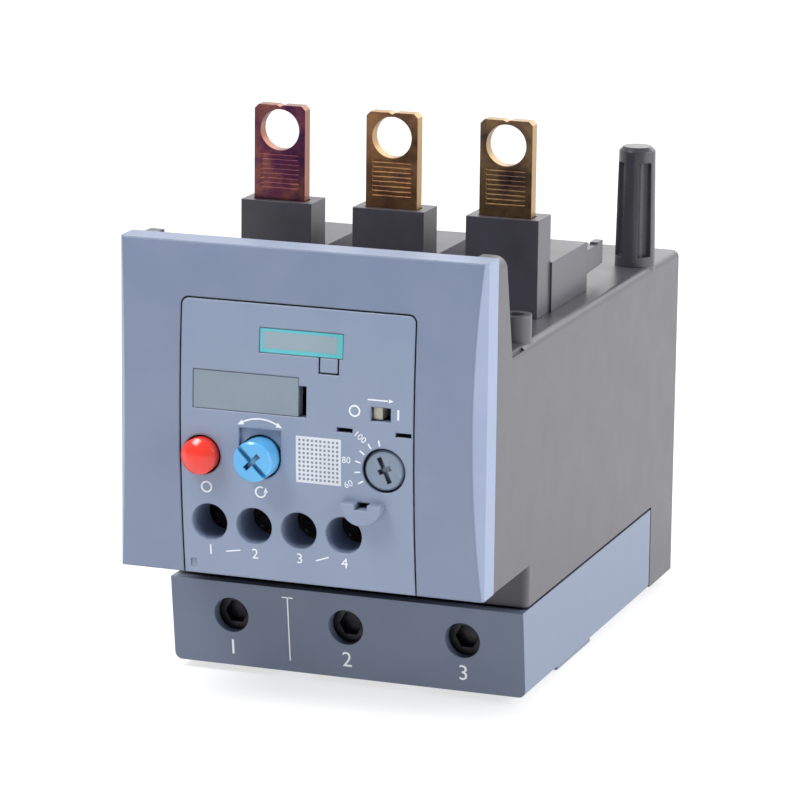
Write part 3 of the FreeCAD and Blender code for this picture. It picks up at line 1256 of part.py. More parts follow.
def build():
    fill_sheet()
    make_housing()
    make_bezel()
    make_panel()
    make_plates()
    make_terminal_block()
    make_chassis()
    for index in (1, 2, 3):
        make_carrier(index)
        make_tab(index)
        make_clamp(index)
        make_load_bar(index)
        make_bimetal(index)
        make_heater(index)
    make_peg()
    make_hook()
    make_stop_button()
    make_reset()
    make_spring("stop_spring", "-stop_left", "stop_z", "stop_stem", "collar_front")
    make_spring("reset_spring", "-reset_left", "reset_z", "reset_stem", "collar_back")
    make_dial()
    make_adjusting_slide()
    make_test_slider()
    make_snap_spring()
    shifts = ("closed_shift_left", "-closed_shift_right", "0 * aux_left", "0 * aux_left")
    for index, shift in enumerate(shifts):
        make_aux_terminal(index, shift)
        make_aux_screw(index)
    make_bridge("closed_bridge", "closed", "0 * contact_travel")
    make_bridge("open_bridge", "open", "contact_travel")
    make_slide("trip_slide", "trip_z", "trip_travel", True)
    make_slide("differential_slide", "differential_z", "trip_travel", False)
    make_lever()
    make_partitions()


def write():
    doc.recompute()
    for item in doc.Objects:
        if "Invalid" in item.State or "Error" in item.State:
            raise RuntimeError(f"{item.Name} ({item.Label}) failed: {item.State}")
    os.makedirs("parts", exist_ok=True)
    for item in subparts:
        shape = item.Shape
        if shape.isNull() or not shape.isValid() or not shape.Solids:
            raise RuntimeError(f"{item.Label} has no valid solid")
        shape.exportStep(f"parts/{item.Label}.step")
        print(f"{item.Label}: {len(shape.Solids)} solid(s), {shape.Volume:.1f} mm3")


build()
write()
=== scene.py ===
"""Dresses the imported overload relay: plastics, metals, printed marks, springs, floor, light and camera.

Everything is in metres in the CAD frame: X to the right, Y to the back, Z up, origin under the middle.
"""
import math
from collections import namedtuple

import bmesh
import bpy
from mathutils import Matrix, Vector


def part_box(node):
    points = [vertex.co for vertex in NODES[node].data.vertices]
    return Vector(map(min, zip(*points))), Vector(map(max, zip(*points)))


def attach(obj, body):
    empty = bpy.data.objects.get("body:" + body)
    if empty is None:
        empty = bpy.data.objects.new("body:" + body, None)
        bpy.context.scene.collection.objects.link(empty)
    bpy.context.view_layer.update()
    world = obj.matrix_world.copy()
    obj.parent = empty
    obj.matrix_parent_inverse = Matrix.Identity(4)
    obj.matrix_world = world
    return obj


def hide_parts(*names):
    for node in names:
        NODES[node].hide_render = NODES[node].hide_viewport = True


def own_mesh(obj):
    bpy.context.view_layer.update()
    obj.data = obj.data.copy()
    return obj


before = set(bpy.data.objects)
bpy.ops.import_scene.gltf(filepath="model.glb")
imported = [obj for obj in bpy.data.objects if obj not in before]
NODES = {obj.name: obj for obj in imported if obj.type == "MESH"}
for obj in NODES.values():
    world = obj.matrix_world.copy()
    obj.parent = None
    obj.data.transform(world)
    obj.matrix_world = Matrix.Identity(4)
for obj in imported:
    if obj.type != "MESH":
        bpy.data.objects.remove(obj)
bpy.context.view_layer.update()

MM = 0.001


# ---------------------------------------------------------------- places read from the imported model

Edges = namedtuple("Edges", "left front low right back high")


def edges_of(node):
    """The six sides of a CAD node's box."""
    low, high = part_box(node)
    return Edges(*low, *high)


def middle_x(node):
    """X half-way across a CAD node."""
    sides = edges_of(node)
    return (sides.left + sides.right) / 2


BEZEL_FRONT = edges_of("front_bezel").front
CROWN_RADIUS = 230 * MM    # the front is part of a wide cylinder that lies along X
CROWN_HEIGHT = 58.3 * MM   # where the front stands furthest out
BLOCK = edges_of("terminal_block")
BLOCK_FOOT = 1.3 * MM      # height of the feet under the block
BLOCK_SLOPE = 2.3 * MM     # how far the block's front runs back from top to bottom


def crown(height):
    """Y of the crowned front face at a height."""
    return BEZEL_FRONT + CROWN_RADIUS - math.sqrt(CROWN_RADIUS ** 2 - (height - CROWN_HEIGHT) ** 2)


def block_face(height):
    """Y of the terminal block's sloping front at a height."""
    return BLOCK.front + BLOCK_SLOPE * (BLOCK.high - height) / (BLOCK.high - BLOCK.low - BLOCK_FOOT)


# ---------------------------------------------------------------- helpers for nodes and objects

WHITE = (1.0, 1.0, 1.0, 1.0)
NOISE_SPAN = (0.3, 0.7)    # where nearly all of a noise texture's values lie


def linear(code):
    """A colour from its sRGB hex code."""
    channels = [int(code[i:i + 2], 16) / 255 for i in (1, 3, 5)]
    return tuple(c / 12.92 if c <= 0.04045 else ((c + 0.055) / 1.055) ** 2.4 for c in channels) + (1.0,)


def feed(tree, item, inputs):
    """Set a node's inputs: each takes a value, or the socket that feeds it."""
    for name, value in inputs.items():
        if isinstance(value, bpy.types.NodeSocket):
            tree.links.new(value, item.inputs[name])
        else:
            item.inputs[name].default_value = value


def add(tree, kind, settings=None, inputs=None):
    """A node with its settings and inputs."""
    item = tree.nodes.new(kind)
    for name, value in (settings or {}).items():
        setattr(item, name, value)
    feed(tree, item, inputs or {})
    return item


def blank_material(name):
    """An empty material and its tree, with the output and a surface shader in place."""
    material = bpy.data.materials.new(name)
    material.use_nodes = True
    tree = material.node_tree
    tree.nodes.clear()
    shader = add(tree, "ShaderNodeBsdfPrincipled")
    add(tree, "ShaderNodeOutputMaterial", inputs={"Surface": shader.outputs["BSDF"]})
    return material, tree, shader


def noise(tree, grain, detail=2.0, rough=0.5, stretch=(1.0, 1.0, 1.0)):
    """Noise whose features are about as large as grain, in metres."""
    place = add(tree, "ShaderNodeTexCoord").outputs["Object"]
    spread = add(tree, "ShaderNodeMapping", inputs={"Vector": place, "Scale": stretch})
    return add(tree, "ShaderNodeTexNoise", inputs={
        "Vector": spread.outputs["Vector"], "Scale": 1.0 / grain,
        "Detail": detail, "Roughness": rough}).outputs["Fac"]


def ramp(tree, factor, stops):
    """A colour ramp from (position, hex code) stops."""
    item = add(tree, "ShaderNodeValToRGB", inputs={"Fac": factor})
    band = item.color_ramp
    while len(band.elements) < len(stops):
        band.elements.new(0.5)
    for element, (position, code) in zip(band.elements, stops):
        element.position = position
        element.color = linear(code)
    return item.outputs["Color"]


def carried(tree, value, source, result):
    """A value carried from one (start, end) span to another, and held at its ends."""
    return add(tree, "ShaderNodeMapRange", inputs={
        "Value": value, "From Min": source[0], "From Max": source[1],
        "To Min": result[0], "To Max": result[1]}).outputs["Result"]


def mixed(tree, share, first, second):
    """The first colour, with a share of the second."""
    return add(tree, "ShaderNodeMixRGB", inputs={
        "Fac": share, "Color1": first, "Color2": second}).outputs["Color"]


def relieved(tree, texture, depth, edge):
    """Normals with a texture's relief, and with edges that look rounded."""
    rounded = add(tree, "ShaderNodeBevel", {"samples": 4}, {"Radius": edge}).outputs["Normal"]
    return add(tree, "ShaderNodeBump", inputs={
        "Height": texture, "Distance": depth, "Strength": 1.0, "Normal": rounded}).outputs["Normal"]


def linked(name, data):
    """An object in the scene."""
    item = bpy.data.objects.new(name, data)
    bpy.context.scene.collection.objects.link(item)
    return item


def placed(name, data):
    """A mesh made a piece of the relay that rides on the frame."""
    item = linked(name, data)
    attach(item, "frame")
    return item


def plain_mesh(maker):
    """The mesh that an object comes to. The object itself goes."""
    bpy.context.view_layer.update()
    data = bpy.data.meshes.new_from_object(maker.evaluated_get(bpy.context.evaluated_depsgraph_get()))
    bpy.data.objects.remove(maker)
    return data


# ---------------------------------------------------------------- moulded plastics

FLOW_PATCH = 9 * MM        # size of the flow marks
POLISHED_COAT = 0.12       # roughness of the skin on pieces from a polished mould


# the darkest colour argument, #15161a by default, is painted shade for slots and gaps
def moulded(name, shade, worn, roughness, grain=0.22 * MM, relief=0.012 * MM, edge=0.25 * MM, coat=0.0,
            gloss=0.5, crevice_shade="#15161a", crevice=1.6 * MM):
    """Injection-moulded plastic: even colour, faint flow marks, spark-eroded grain, soft mould edges.

    The grain makes highlights wide and soft, and the rounded edges catch a thin bright line. Slots and gaps
    about as wide as the crevice are darkened by ambient occlusion: painted shade.
    """
    material, tree, shader = blank_material(name)
    flow = noise(tree, FLOW_PATCH, detail=3.0)
    grit = noise(tree, grain, rough=0.6)
    tint = ramp(tree, flow, [(0.35, worn), (0.6, shade)])
    # painted shade: where ambient occlusion finds slots and gaps, the colour is mixed towards a dark shade
    # colour
    open_sky = add(tree, "ShaderNodeAmbientOcclusion", {"samples": 6}, {"Distance": crevice}).outputs["AO"]
    shaded_share = carried(tree, open_sky, (0.15, 0.6), (0.9, 0.0))
    feed(tree, shader, {
        "Base Color": mixed(tree, shaded_share, tint, linear(crevice_shade)),
        "Roughness": carried(tree, flow, NOISE_SPAN, (roughness - 0.03, roughness + 0.04)),
        "Normal": relieved(tree, grit, relief, edge),
        "IOR": 1.5, "Specular IOR Level": gloss, "Coat Weight": coat, "Coat Roughness": POLISHED_COAT})
    return material


def housing_nylon():
    """Glass-filled nylon of the housing, spark-eroded: dark head-on, pale at a glancing angle."""
    return moulded("glass_filled_nylon", "#45444b", "#414047", 0.36, grain=0.3 * MM, relief=0.010 * MM,
                   edge=0.3 * MM)


def cover_abs():
    """Blue-grey ABS blend of the cover, satin."""
    return moulded("satin_abs_cover", "#7885a0", "#74829d", 0.38, relief=0.008 * MM, edge=0.6 * MM, gloss=0.75)


def panel_abs():
    """Lighter ABS of the front panel, satin."""
    return moulded("satin_abs_panel", "#8492ac", "#808fa9", 0.38, relief=0.008 * MM, edge=0.5 * MM, gloss=0.8)


def block_abs():
    """Blue-grey ABS of the terminal block, a little coarser."""
    return moulded("grained_abs_block", "#687388", "#647085", 0.42, grain=0.3 * MM, relief=0.010 * MM)


def carrier_pbt():
    """Black PBT of the tab carriers, satin."""
    return moulded("black_pbt", "#42414a", "#3a3941", 0.34, grain=0.35 * MM)


def peg_pbt():
    """The same PBT, polished in its mould."""
    return moulded("polished_pbt", "#3a3a41", "#34343a", 0.26, grain=0.5 * MM, relief=0.004 * MM)


def label_film():
    """Grey printed film of the label plate."""
    return moulded("grey_label_film", "#84929f", "#808e9c", 0.36, relief=0.003 * MM, edge=0.1 * MM)


def marker_teal():
    """Teal marking plate."""
    return moulded("teal_marker", "#5fbcc6", "#57b2bd", 0.35, relief=0.004 * MM, edge=0.1 * MM)


def inner_pa():
    """Dark polyamide of the inner frame."""
    return moulded("dark_polyamide", "#33343a", "#2e2f34", 0.45)


def slide_pom():
    """Natural acetal of the slides, waxy."""
    return moulded("natural_acetal", "#d6d0c0", "#cdc6b5", 0.35, relief=0.004 * MM)


def stop_red():
    """Signal red ABS, polished."""
    # the dark red given last is painted shade for its crevices
    return moulded("polished_red_abs", "#f03a2c", "#e93527", 0.22, relief=0.002 * MM, edge=0.3 * MM, coat=0.3,
                    crevice_shade="#5c1410")


def reset_blue():
    """Light blue ABS, polished."""
    # the dark blue given last is painted shade for its crevices
    return moulded("polished_blue_abs", "#5fb4ea", "#58aae2", 0.22, relief=0.002 * MM, edge=0.3 * MM, coat=0.3,
                    crevice_shade="#123a63", crevice=2.0 * MM)


def dial_grey():
    """Grey acetal of the dial."""
    return moulded("grey_acetal", "#7a8a9e", "#728296", 0.26, relief=0.003 * MM, edge=0.3 * MM, coat=0.3)


def white_ink():
    """Pad-printed white ink."""
    return moulded("pad_printed_ink", "#eef2fa", "#e6ebf5", 0.5, relief=0.002 * MM, edge=0.01 * MM)


# ---------------------------------------------------------------- metals

DRAWN_GRAIN = 0.25 * MM    # width of the lines that rolling or drawing left
DRAWN_RELIEF = 0.004 * MM
METAL_EDGE = 0.15 * MM


def metal(name, stops, roughness, lines=(1.0, 1.0, 1.0), patch=6 * MM, sheared=None):
    """Bare or plated metal: tarnish patches in the colour, drawn lines in the gloss and the surface.

    On punched sheet, the sheared edges took less of the tint than the rolled face.
    """
    material, tree, shader = blank_material(name)
    tarnish = noise(tree, patch, detail=4.0, rough=0.55)
    drawn = noise(tree, DRAWN_GRAIN, detail=3.0, stretch=lines)
    colour = ramp(tree, tarnish, stops)
    if sheared:
        normal = add(tree, "ShaderNodeNewGeometry").outputs["True Normal"]
        facing = add(tree, "ShaderNodeSeparateXYZ", inputs={"Vector": normal}).outputs["Y"]
        rolled = add(tree, "ShaderNodeMath", {"operation": "ABSOLUTE"}, {0: facing}).outputs["Value"]
        colour = mixed(tree, carried(tree, rolled, (0.3, 0.9), (1.0, 0.0)), colour, linear(sheared))
    feed(tree, shader, {
        "Base Color": colour,
        "Roughness": carried(tree, drawn, NOISE_SPAN, (roughness - 0.06, roughness + 0.08)),
        "Normal": relieved(tree, drawn, DRAWN_RELIEF, METAL_EDGE),
        "Metallic": 1.0})
    return material


def tinted_copper(name, stops, sheared):
    """Rolled copper with heat colours: brown and gold, running to purple, with lines down the strip."""
    return metal(name, stops, 0.34, lines=(1.0, 1.0, 0.15), patch=6.5 * MM, sheared=sheared)


def tab_coppers():
    """A copper for each line tab, from left to right, because heat tinted each one differently."""
    purple = [(0.30, "#3a2348"), (0.45, "#6a3a50"), (0.58, "#8c5750"), (0.72, "#4c2b5c")]
    gold = [(0.30, "#5a4434"), (0.45, "#8a644c"), (0.58, "#a87e56"), (0.72, "#6c4850")]
    brown = [(0.30, "#433337"), (0.45, "#725b4a"), (0.58, "#947754"), (0.72, "#553e47")]
    return [tinted_copper("purple_tinted_copper", purple, "#94604a"),
            tinted_copper("gold_tinted_copper", gold, "#b08c5c"),
            tinted_copper("brown_tinted_copper", brown, "#a88a62")]


def bar_copper():
    """Rolled copper of the load bars, bare and little tarnished."""
    return metal("rolled_copper", [(0.35, "#a96c4a"), (0.65, "#c58460")], 0.34)


def brass():
    """Drawn brass of the contacts and terminals, dulled."""
    return metal("drawn_brass", [(0.35, "#6f5c3a"), (0.65, "#8d7648")], 0.3)


def zinc_steel():
    """Zinc-plated steel: pale, slightly blue, with a soft sheen."""
    return metal("zinc_plated_steel", [(0.35, "#a9abaf"), (0.65, "#c6c8cc")], 0.32, patch=2 * MM)


def blackened_steel():
    """Steel of the screws, nearly black with a dull sheen: the dark colour is painted shade, standing for the
    shade deep in the holes that the screws sit in.
    """
    return metal("screw_steel_painted_shade", [(0.35, "#2b2b2d"), (0.65, "#3a3a3d")], 0.36, patch=2 * MM)


def spring_steel():
    """Bright spring steel."""
    return metal("spring_steel", [(0.35, "#8d8e90"), (0.65, "#a6a7a9")], 0.3)


def bimetal():
    """Rolled bimetal: a warm pale grey."""
    return metal("rolled_bimetal", [(0.35, "#a59a88"), (0.65, "#b9ae9b")], 0.38)


def resistance_ribbon():
    """Oxidised ribbon of the heater windings: a dark warm grey."""
    return metal("resistance_ribbon", [(0.35, "#6f675f"), (0.65, "#8b8278")], 0.42)


def dress_nodes():
    """Give every CAD node its material. A numbered node takes its stem's, or its own from a list."""
    carrier, blue, inner, slide = carrier_pbt(), reset_blue(), inner_pa(), slide_pom()
    steel, zinc, yellow, black = spring_steel(), zinc_steel(), brass(), blackened_steel()
    finishes = {
        "base_housing": housing_nylon(), "front_bezel": cover_abs(), "front_panel": panel_abs(),
        "terminal_block": block_abs(), "guide_peg": peg_pbt(), "tab_carrier": carrier,
        "coupling_hook": carrier, "label_plate": label_film(), "blank_plate": marker_teal(),
        "stop_button": stop_red(), "reset_plunger": blue, "reset_knob": blue, "setting_dial": dial_grey(),
        "test_slider": slide, "adjusting_slide": slide, "trip_slide": slide, "differential_slide": slide,
        "trip_lever": slide, "mechanism_chassis": inner, "pole_partitions": inner,
        "snap_spring": steel, "lever_pin": steel, "stop_spring": steel, "reset_spring": steel,
        "closed_bridge": yellow, "open_bridge": yellow, "aux_terminal": yellow, "aux_washer": zinc,
        # the screws take near-black steel as painted shade for the deep holes they sit in
        "aux_screw": black, "clamp_screw": black, "clamp_cage": zinc, "line_tab": tab_coppers(),
        "load_bar": bar_copper(), "bimetal_strip": bimetal(), "heater_winding": resistance_ribbon(),
    }
    for name, item in NODES.items():
        stem, _, number = name.rpartition("_")
        finish = finishes.get(name) or finishes[stem]
        if isinstance(finish, list):
            finish = finish[int(number) - 1]
        item.data.materials.clear()
        item.data.materials.append(finish)


# ---------------------------------------------------------------- outlines of printed marks

def bar(x0, z0, x1, z1, width):
    """A straight printed line, as an outline."""
    along = Vector((x1 - x0, z1 - z0)).normalized() * width / 2
    side = Vector((-along.y, along.x))
    return [(x0 + side.x, z0 + side.y), (x0 - side.x, z0 - side.y), (x1 - side.x, z1 - side.y),
            (x1 + side.x, z1 + side.y)]


def arc_bars(x, z, radius, start, end, width, steps=12):
    """A printed arc as short joined bars. Angles in degrees from +X towards +Z."""
    inner, outer = radius - width / 2, radius + width / 2
    outlines = []
    for i in range(steps):
        a, b = (math.radians(start + (end - start) * (i + k) / steps) for k in (0, 1))
        corners = [(inner, a), (inner, b), (outer, b), (outer, a)]
        outlines.append([(x + r * math.cos(t), z + r * math.sin(t)) for r, t in corners])
    return outlines


def arrow_head(x, z, angle, size):
    """A printed triangle whose tip points along an angle in degrees."""
    turn = math.radians(angle)
    points = ((size, 0), (-size / 2, size * 0.6), (-size / 2, -size * 0.6))
    return [(x + u * math.cos(turn) - v * math.sin(turn), z + u * math.sin(turn) + v * math.cos(turn))
            for u, v in points]


def strips(left, low, right, high, count):
    """A rectangle cut into level strips, so that it follows a curved face."""
    rise = (high - low) / count
    return [[(left, low + rise * i), (right, low + rise * i), (right, low + rise * (i + 1)),
             (left, low + rise * (i + 1))] for i in range(count)]


def millimetres(outlines):
    """Outlines given in millimetres, in metres."""
    return [[(x * MM, z * MM) for x, z in outline] for outline in outlines]


# ---------------------------------------------------------------- marks laid on a face

INK_LIFT = 0.03 * MM       # half the thickness of ink or film
CAP_HEIGHT = 0.7           # a digit's height as a share of its type size


def film(name, outlines, face, finish):
    """Thin ink or film on a face. An outline is a list of (x, z) points; face gives Y at a height."""
    mesh = bmesh.new()
    for outline in outlines:
        front = [mesh.verts.new((x, face(z) - INK_LIFT, z)) for x, z in outline]
        back = [mesh.verts.new((x, face(z) + INK_LIFT, z)) for x, z in outline]
        mesh.faces.new(front)
        mesh.faces.new(back[::-1])
        for i in range(len(front)):
            following = (i + 1) % len(front)
            mesh.faces.new((front[following], front[i], back[i], back[following]))
    bmesh.ops.recalc_face_normals(mesh, faces=mesh.faces)
    data = bpy.data.meshes.new(name)
    mesh.to_mesh(data)
    mesh.free()
    data.materials.append(finish)
    placed(name, data)


def laid(name, data, x, z, face):
    """Lay a flat mesh, drawn in X and Y, on a face around a place."""
    for vertex in data.vertices:
        height = z + vertex.co.y
        vertex.co = Vector((x + vertex.co.x, face(height) - vertex.co.z, height))
    placed(name, data)


def numeral(name, text, x, z, height, face, ink, turn=0.0):
    """A printed plain number, centred at a place on a face and turned by an angle in degrees."""
    curve = bpy.data.curves.new(name, "FONT")
    curve.body = text
    curve.size = height / CAP_HEIGHT
    curve.align_x = "CENTER"
    curve.align_y = "CENTER"
    curve.extrude = INK_LIFT
    curve.resolution_u = 3
    data = plain_mesh(linked(name + "_text", curve))
    spin = Matrix.Rotation(math.radians(turn), 3, "Z")
    for vertex in data.vertices:
        vertex.co = spin @ vertex.co
    data.materials.append(ink)
    laid(name, data, x, z, face)


# ---------------------------------------------------------------- what repeats, by Geometry Nodes

FLOAT, WHOLE, FINISH = "NodeSocketFloat", "NodeSocketInt", "NodeSocketMaterial"


def repeated(name, tree, sizes):
    """The plain mesh that a Geometry Nodes tree makes at the given sizes."""
    maker = linked(name + "_maker", bpy.data.meshes.new(name + "_maker"))
    modifier = maker.modifiers.new(name, "NODES")
    modifier.node_group = tree
    for socket in tree.interface.items_tree:
        if socket.in_out == "INPUT":
            modifier[socket.identifier] = sizes[socket.name]
    return plain_mesh(maker)


def open_tree(name, sockets):
    """A Geometry Nodes tree with named inputs, and the sockets that it is given and gives back."""
    tree = bpy.data.node_groups.new(name, "GeometryNodeTree")
    for label, kind in sockets:
        tree.interface.new_socket(name=label, in_out="INPUT", socket_type=kind)
    tree.interface.new_socket(name="Geometry", in_out="OUTPUT", socket_type="NodeSocketGeometry")
    return tree, add(tree, "NodeGroupInput").outputs, add(tree, "NodeGroupOutput").inputs["Geometry"]


def close_tree(tree, geometry, given, result):
    """Make a tree's geometry real, give it its finish and hand it back."""
    real = add(tree, "GeometryNodeRealizeInstances", inputs={"Geometry": geometry})
    dressed = add(tree, "GeometryNodeSetMaterial", inputs={
        "Geometry": real.outputs["Geometry"], "Material": given["Finish"]})
    tree.links.new(dressed.outputs["Geometry"], result)
    return tree


def slab(tree, length, width, thickness):
    """A cuboid along X, Y and Z."""
    extent = add(tree, "ShaderNodeCombineXYZ", inputs={"X": length, "Y": width, "Z": thickness})
    return add(tree, "GeometryNodeMeshCube", inputs={"Size": extent.outputs["Vector"]}).outputs["Mesh"]


def ticks_tree():
    """Short bars along an arc, each pointing at its centre."""
    tree, given, result = open_tree("ticks_on_an_arc", [
        ("Radius", FLOAT), ("Start", FLOAT), ("Sweep", FLOAT), ("Count", WHOLE), ("Length", FLOAT),
        ("Width", FLOAT), ("Thickness", FLOAT), ("Finish", FINISH)])
    arc = add(tree, "GeometryNodeCurveArc", inputs={
        "Resolution": given["Count"], "Radius": given["Radius"], "Start Angle": given["Start"],
        "Sweep Angle": given["Sweep"]})
    place = add(tree, "GeometryNodeInputPosition").outputs["Position"]
    outward = add(tree, "FunctionNodeAlignRotationToVector", {"axis": "X"}, {"Vector": place})
    ticks = add(tree, "GeometryNodeInstanceOnPoints", inputs={
        "Points": arc.outputs["Curve"], "Rotation": outward.outputs["Rotation"],
        "Instance": slab(tree, given["Length"], given["Width"], given["Thickness"])})
    return close_tree(tree, ticks.outputs["Instances"], given, result)


def dots_tree():
    """Square dots on a plain grid."""
    tree, given, result = open_tree("dots_on_a_grid", [
        ("Side", FLOAT), ("Count", WHOLE), ("Dot", FLOAT), ("Thickness", FLOAT), ("Finish", FINISH)])
    grid = add(tree, "GeometryNodeMeshGrid", inputs={
        "Size X": given["Side"], "Size Y": given["Side"],
        "Vertices X": given["Count"], "Vertices Y": given["Count"]})
    dots = add(tree, "GeometryNodeInstanceOnPoints", inputs={
        "Points": grid.outputs["Mesh"],
        "Instance": slab(tree, given["Dot"], given["Dot"], given["Thickness"])})
    return close_tree(tree, dots.outputs["Instances"], given, result)


def wire_tree():
    """Round wire wound into an open coil that rises along Z."""
    tree, given, result = open_tree("coiled_wire", [
        ("Turns", FLOAT), ("Coil radius", FLOAT), ("Wire radius", FLOAT), ("Height", FLOAT),
        ("Steps", WHOLE), ("Sides", WHOLE), ("Finish", FINISH)])
    path = add(tree, "GeometryNodeCurveSpiral", inputs={
        "Resolution": given["Steps"], "Rotations": given["Turns"], "Start Radius": given["Coil radius"],
        "End Radius": given["Coil radius"], "Height": given["Height"]})
    section = add(tree, "GeometryNodeCurvePrimitiveCircle", inputs={
        "Resolution": given["Sides"], "Radius": given["Wire radius"]})
    wire = add(tree, "GeometryNodeCurveToMesh", inputs={
        "Curve": path.outputs["Curve"], "Profile Curve": section.outputs["Curve"], "Fill Caps": True})
    return close_tree(tree, wire.outputs["Mesh"], given, result)


# ---------------------------------------------------------------- printed marks

TERMINAL_NUMBER_Z, TERMINAL_NUMBER_HEIGHT = 31.0 * MM, 1.9 * MM
POLE_PITCH, POLE_NUMBER_Z, POLE_NUMBER_HEIGHT = 23.0 * MM, 4.9 * MM, 3.0 * MM
SCALE_NUMBER_HEIGHT = 1.2 * MM
SCALE_NUMBERS = (          # text, X and Z in millimetres, turn in degrees
    ("60", 10.0, 46.1, 25), ("80", 9.6, 50.5, 0), ("100", 12.2, 55.0, -38))
DIVIDER_X, DIVIDER_FOOT, DIVIDER_TOP = -11.5, 3.5, 16.2    # a T between poles 1 and 2, in millimetres


def symbols():
    """The panel's printed symbols, as outlines in millimetres."""
    ring = 0.95            # radius of the rings
    # off and on at the test slider, and the arrow of its travel
    off_x, on_x, slider_z, arrow_z = 11.16, 19.4, 59.7, 62.0
    outlines = arc_bars(off_x, slider_z, ring, 0, 360, width=0.3, steps=20)
    outlines.append(bar(on_x, slider_z - 1.0, on_x, slider_z + 0.9, width=0.35))
    outlines.append(bar(13.6, arrow_z, 17.4, arrow_z, width=0.25))
    outlines.append(arrow_head(17.9, arrow_z, 0, size=0.6))
    # double-headed arc over the reset knob
    knob_x, knob_z, head_reach, head_z = -6.9, 49.5, 3.6, 55.6
    outlines += arc_bars(knob_x, knob_z, 7.1, 62, 118, width=0.3)
    outlines.append(arrow_head(knob_x - head_reach, head_z, 205, size=0.8))
    outlines.append(arrow_head(knob_x + head_reach, head_z, -25, size=0.8))
    # a ring for stop and an open ring with an arrow for reset, under the buttons
    stop_x, under_z = -17.4, 43.0
    outlines += arc_bars(stop_x, under_z, ring, 0, 360, width=0.32, steps=20)
    outlines += arc_bars(knob_x, under_z, ring, 60, 360, width=0.32, steps=16)
    outlines.append(arrow_head(knob_x + 1.0, under_z + 0.3, 90, size=0.7))
    # closed and open contact, between the terminal numbers
    outlines.append(bar(-14.0, 31.0, -11.2, 31.5, width=0.25))
    outlines.append(bar(3.4, 31.0, 5.9, 31.9, width=0.25))
    return outlines


def dial_scale(ink):
    """Six ticks on the side of the dial that its numbers stand on."""
    ticks = repeated("dial_ticks", ticks_tree(), {
        "Radius": 5.05 * MM, "Start": math.radians(100), "Sweep": math.radians(110), "Count": 6,
        "Length": 1.1 * MM, "Width": 0.28 * MM, "Thickness": 2 * INK_LIFT, "Finish": ink})
    laid("dial_ticks", ticks, 16.7 * MM, 49.2 * MM, crown)


def code_label():
    """White paper label with a plain grid of grey dots."""
    left, low, side = 0.0, 45.6 * MM, 8.6 * MM
    paper = moulded("white_label_paper", "#d9dde6", "#d2d6e0", 0.55, edge=0.01 * MM)
    film("code_label", strips(left, low, left + side, low + side, count=10), crown, paper)
    dots = repeated("label_dots", dots_tree(), {
        "Side": 7.2 * MM, "Count": 10, "Dot": 0.4 * MM, "Thickness": 2 * INK_LIFT,
        "Finish": moulded("grey_label_ink", "#7f8694", "#777e8c", 0.5, edge=0.01 * MM)})
    laid("label_dots", dots, left + side / 2, low + side / 2, lambda z: crown(z) - INK_LIFT)


def marker_face():
    """Grey film that leaves a teal border round the marking plate, wider at its foot and its pull tab."""
    plate = edges_of("blank_plate")
    border, foot, tab_side = 0.55 * MM, 0.8 * MM, 1.1 * MM
    sunk = plate.front - crown(plate.low)
    outlines = strips(plate.left + border, plate.low + foot, plate.right - tab_side, plate.high - border,
                      count=6)
    grey = moulded("grey_marker_film", "#8fa3ae", "#8b9faa", 0.36, relief=0.003 * MM, edge=0.01 * MM)
    film("marker_face", outlines, lambda z: crown(z) + sunk, grey)


def print_marks():
    """White pad print on the panel and the terminal block: symbols and plain numbers only."""
    ink = white_ink()
    dial_scale(ink)
    film("panel_marks", millimetres(symbols()), crown, ink)
    code_label()
    marker_face()
    for number in (1, 2, 3, 4):
        numeral(f"terminal_number_{number}", str(number), middle_x(f"aux_screw_{number}"),
                TERMINAL_NUMBER_Z, TERMINAL_NUMBER_HEIGHT, crown, ink)
    for text, x, z, turn in SCALE_NUMBERS:
        numeral(f"scale_number_{text}", text, x * MM, z * MM, SCALE_NUMBER_HEIGHT, crown, ink, turn)
    for number in (1, 2, 3):
        numeral(f"pole_number_{number}", str(number), (number - 2) * POLE_PITCH, POLE_NUMBER_Z,
                POLE_NUMBER_HEIGHT, block_face, ink)
    divider = [bar(DIVIDER_X, DIVIDER_FOOT, DIVIDER_X, DIVIDER_TOP, width=0.24),
               bar(DIVIDER_X - 1.1, DIVIDER_TOP, DIVIDER_X + 1.1, DIVIDER_TOP, width=0.24)]
    film("pole_divider", millimetres(divider), block_face, ink)


# ---------------------------------------------------------------- return springs

def return_spring(node):
    """The coil behind a button: round wire, in place of the CAD spring, riding on the frame."""
    left, front, low, right, back, high = edges_of(node)
    wire = 0.3 * MM
    length = back - front
    middle = Vector(((left + right) / 2, 0, (low + high) / 2))
    data = repeated(node + "_wire", wire_tree(), {
        "Turns": 5.0, "Coil radius": (right - left) / 2 - wire, "Wire radius": wire,
        "Height": length - 2 * wire, "Steps": 24, "Sides": 10, "Finish": NODES[node].data.materials[0]})
    for vertex in data.vertices:
        u, v, rise = vertex.co
        vertex.co = middle + Vector((u, back - wire - rise, v))
    item = placed(node + "_coil", data)
    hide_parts(node)
    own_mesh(item)


# ---------------------------------------------------------------- floor, light, camera

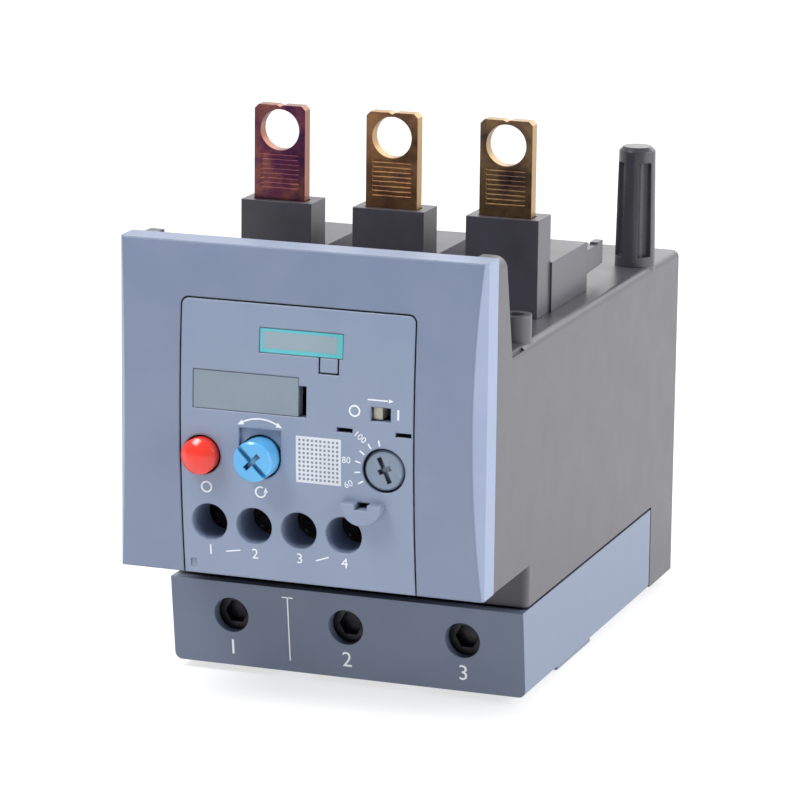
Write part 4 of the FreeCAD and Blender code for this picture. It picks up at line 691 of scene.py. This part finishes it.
def pale_floor():
    """A white floor that runs out of sight and glows from within: painted light, brighter behind the object
    than before it, that keeps it white and lifts the shadow the object casts.
    """
    reach, height = 4.0, -0.2 * MM
    data = bpy.data.meshes.new("floor")
    corners = [(-reach, -reach), (reach, -reach), (reach, reach), (-reach, reach)]
    data.from_pydata([(x, y, height) for x, y in corners], [], [(0, 1, 2, 3)])
    material, tree, shader = blank_material("glowing_white_floor")
    place = add(tree, "ShaderNodeTexCoord").outputs["Object"]
    depth = add(tree, "ShaderNodeSeparateXYZ", inputs={"Vector": place}).outputs["Y"]
    before, behind = (-0.8, 0.2), (-0.12, 0.68)    # (Y, glow)
    # painted light: the floor's glow, brighter behind the object, keeps it white and lifts the object's shadow
    feed(tree, shader, {
        "Base Color": (0.36, 0.36, 0.36, 1.0), "Roughness": 0.9, "Emission Color": WHITE,
        "Emission Strength": carried(tree, depth, *zip(before, behind))})
    data.materials.append(material)
    item = linked("floor", data)


def studio_air():
    """White surround, brighter behind the object than in front of it."""
    world = bpy.data.worlds.new("studio")
    bpy.context.scene.world = world
    world.use_nodes = True
    tree = world.node_tree
    tree.nodes.clear()
    way = add(tree, "ShaderNodeTexCoord").outputs["Generated"]
    depth = add(tree, "ShaderNodeSeparateXYZ", inputs={"Vector": way}).outputs["Y"]
    before, behind = (-0.5, 0.26), (0.7, 1.2)      # (Y of the direction, brightness)
    air = add(tree, "ShaderNodeBackground", inputs={
        "Color": WHITE, "Strength": carried(tree, depth, *zip(before, behind))})
    add(tree, "ShaderNodeOutputWorld", inputs={"Surface": air.outputs["Background"]})


def soft_light(name, place, width, height, level):
    """A soft box turned to the object. Its level is its brightness, where the surround is about 1."""
    light = bpy.data.lights.new(name, "AREA")
    light.shape = "RECTANGLE"
    light.size = width
    light.size_y = height
    light.energy = level * math.pi * width * height
    item = linked(name, light)
    item.location = place
    item.rotation_euler = (Vector((0, 0, 50 * MM)) - Vector(place)).to_track_quat("-Z", "Y").to_euler()


def studio_lights():
    """A broad box to the right, a weak one behind and a small strong one at the front left, high up."""
    soft_light("right_softbox", (1.05, 0.08, 0.3), width=1.3, height=0.9, level=4.7)
    soft_light("rear_softbox", (0.2, 1.3, 0.75), width=1.4, height=0.7, level=1.5)
    soft_light("key_softbox", (-0.45, -0.45, 0.9), width=0.5, height=0.45, level=13.0)


def aim_camera():
    """A long lens from the front right, a little above the object."""
    azimuth, elevation, roll = math.radians(19.685), math.radians(12.968), math.radians(0.65)
    target = Vector((-1.962, 0.0, 47.645)) * MM
    reach = 789.77 * MM
    away = Vector((math.sin(azimuth) * math.cos(elevation), -math.cos(azimuth) * math.cos(elevation),
                   math.sin(elevation)))
    right = Vector((math.cos(azimuth), math.sin(azimuth), 0))
    up = away.cross(right)
    across = right * math.cos(roll) + up * math.sin(roll)
    upright = up * math.cos(roll) - right * math.sin(roll)
    camera = bpy.data.cameras.new("camera")
    camera.sensor_width = 36
    camera.lens = 184.66
    camera.clip_start = 0.05
    camera.clip_end = 20
    pose = Matrix((across, upright, away)).transposed().to_4x4()
    pose.translation = target + away * reach
    item = linked("camera", camera)
    item.matrix_world = pose
    bpy.context.scene.camera = item


# colours as given, so that the surround stays white
bpy.context.scene.view_settings.view_transform = "Standard"
dress_nodes()
print_marks()
return_spring("stop_spring")
return_spring("reset_spring")
pale_floor()
studio_air()
studio_lights()
aim_camera()
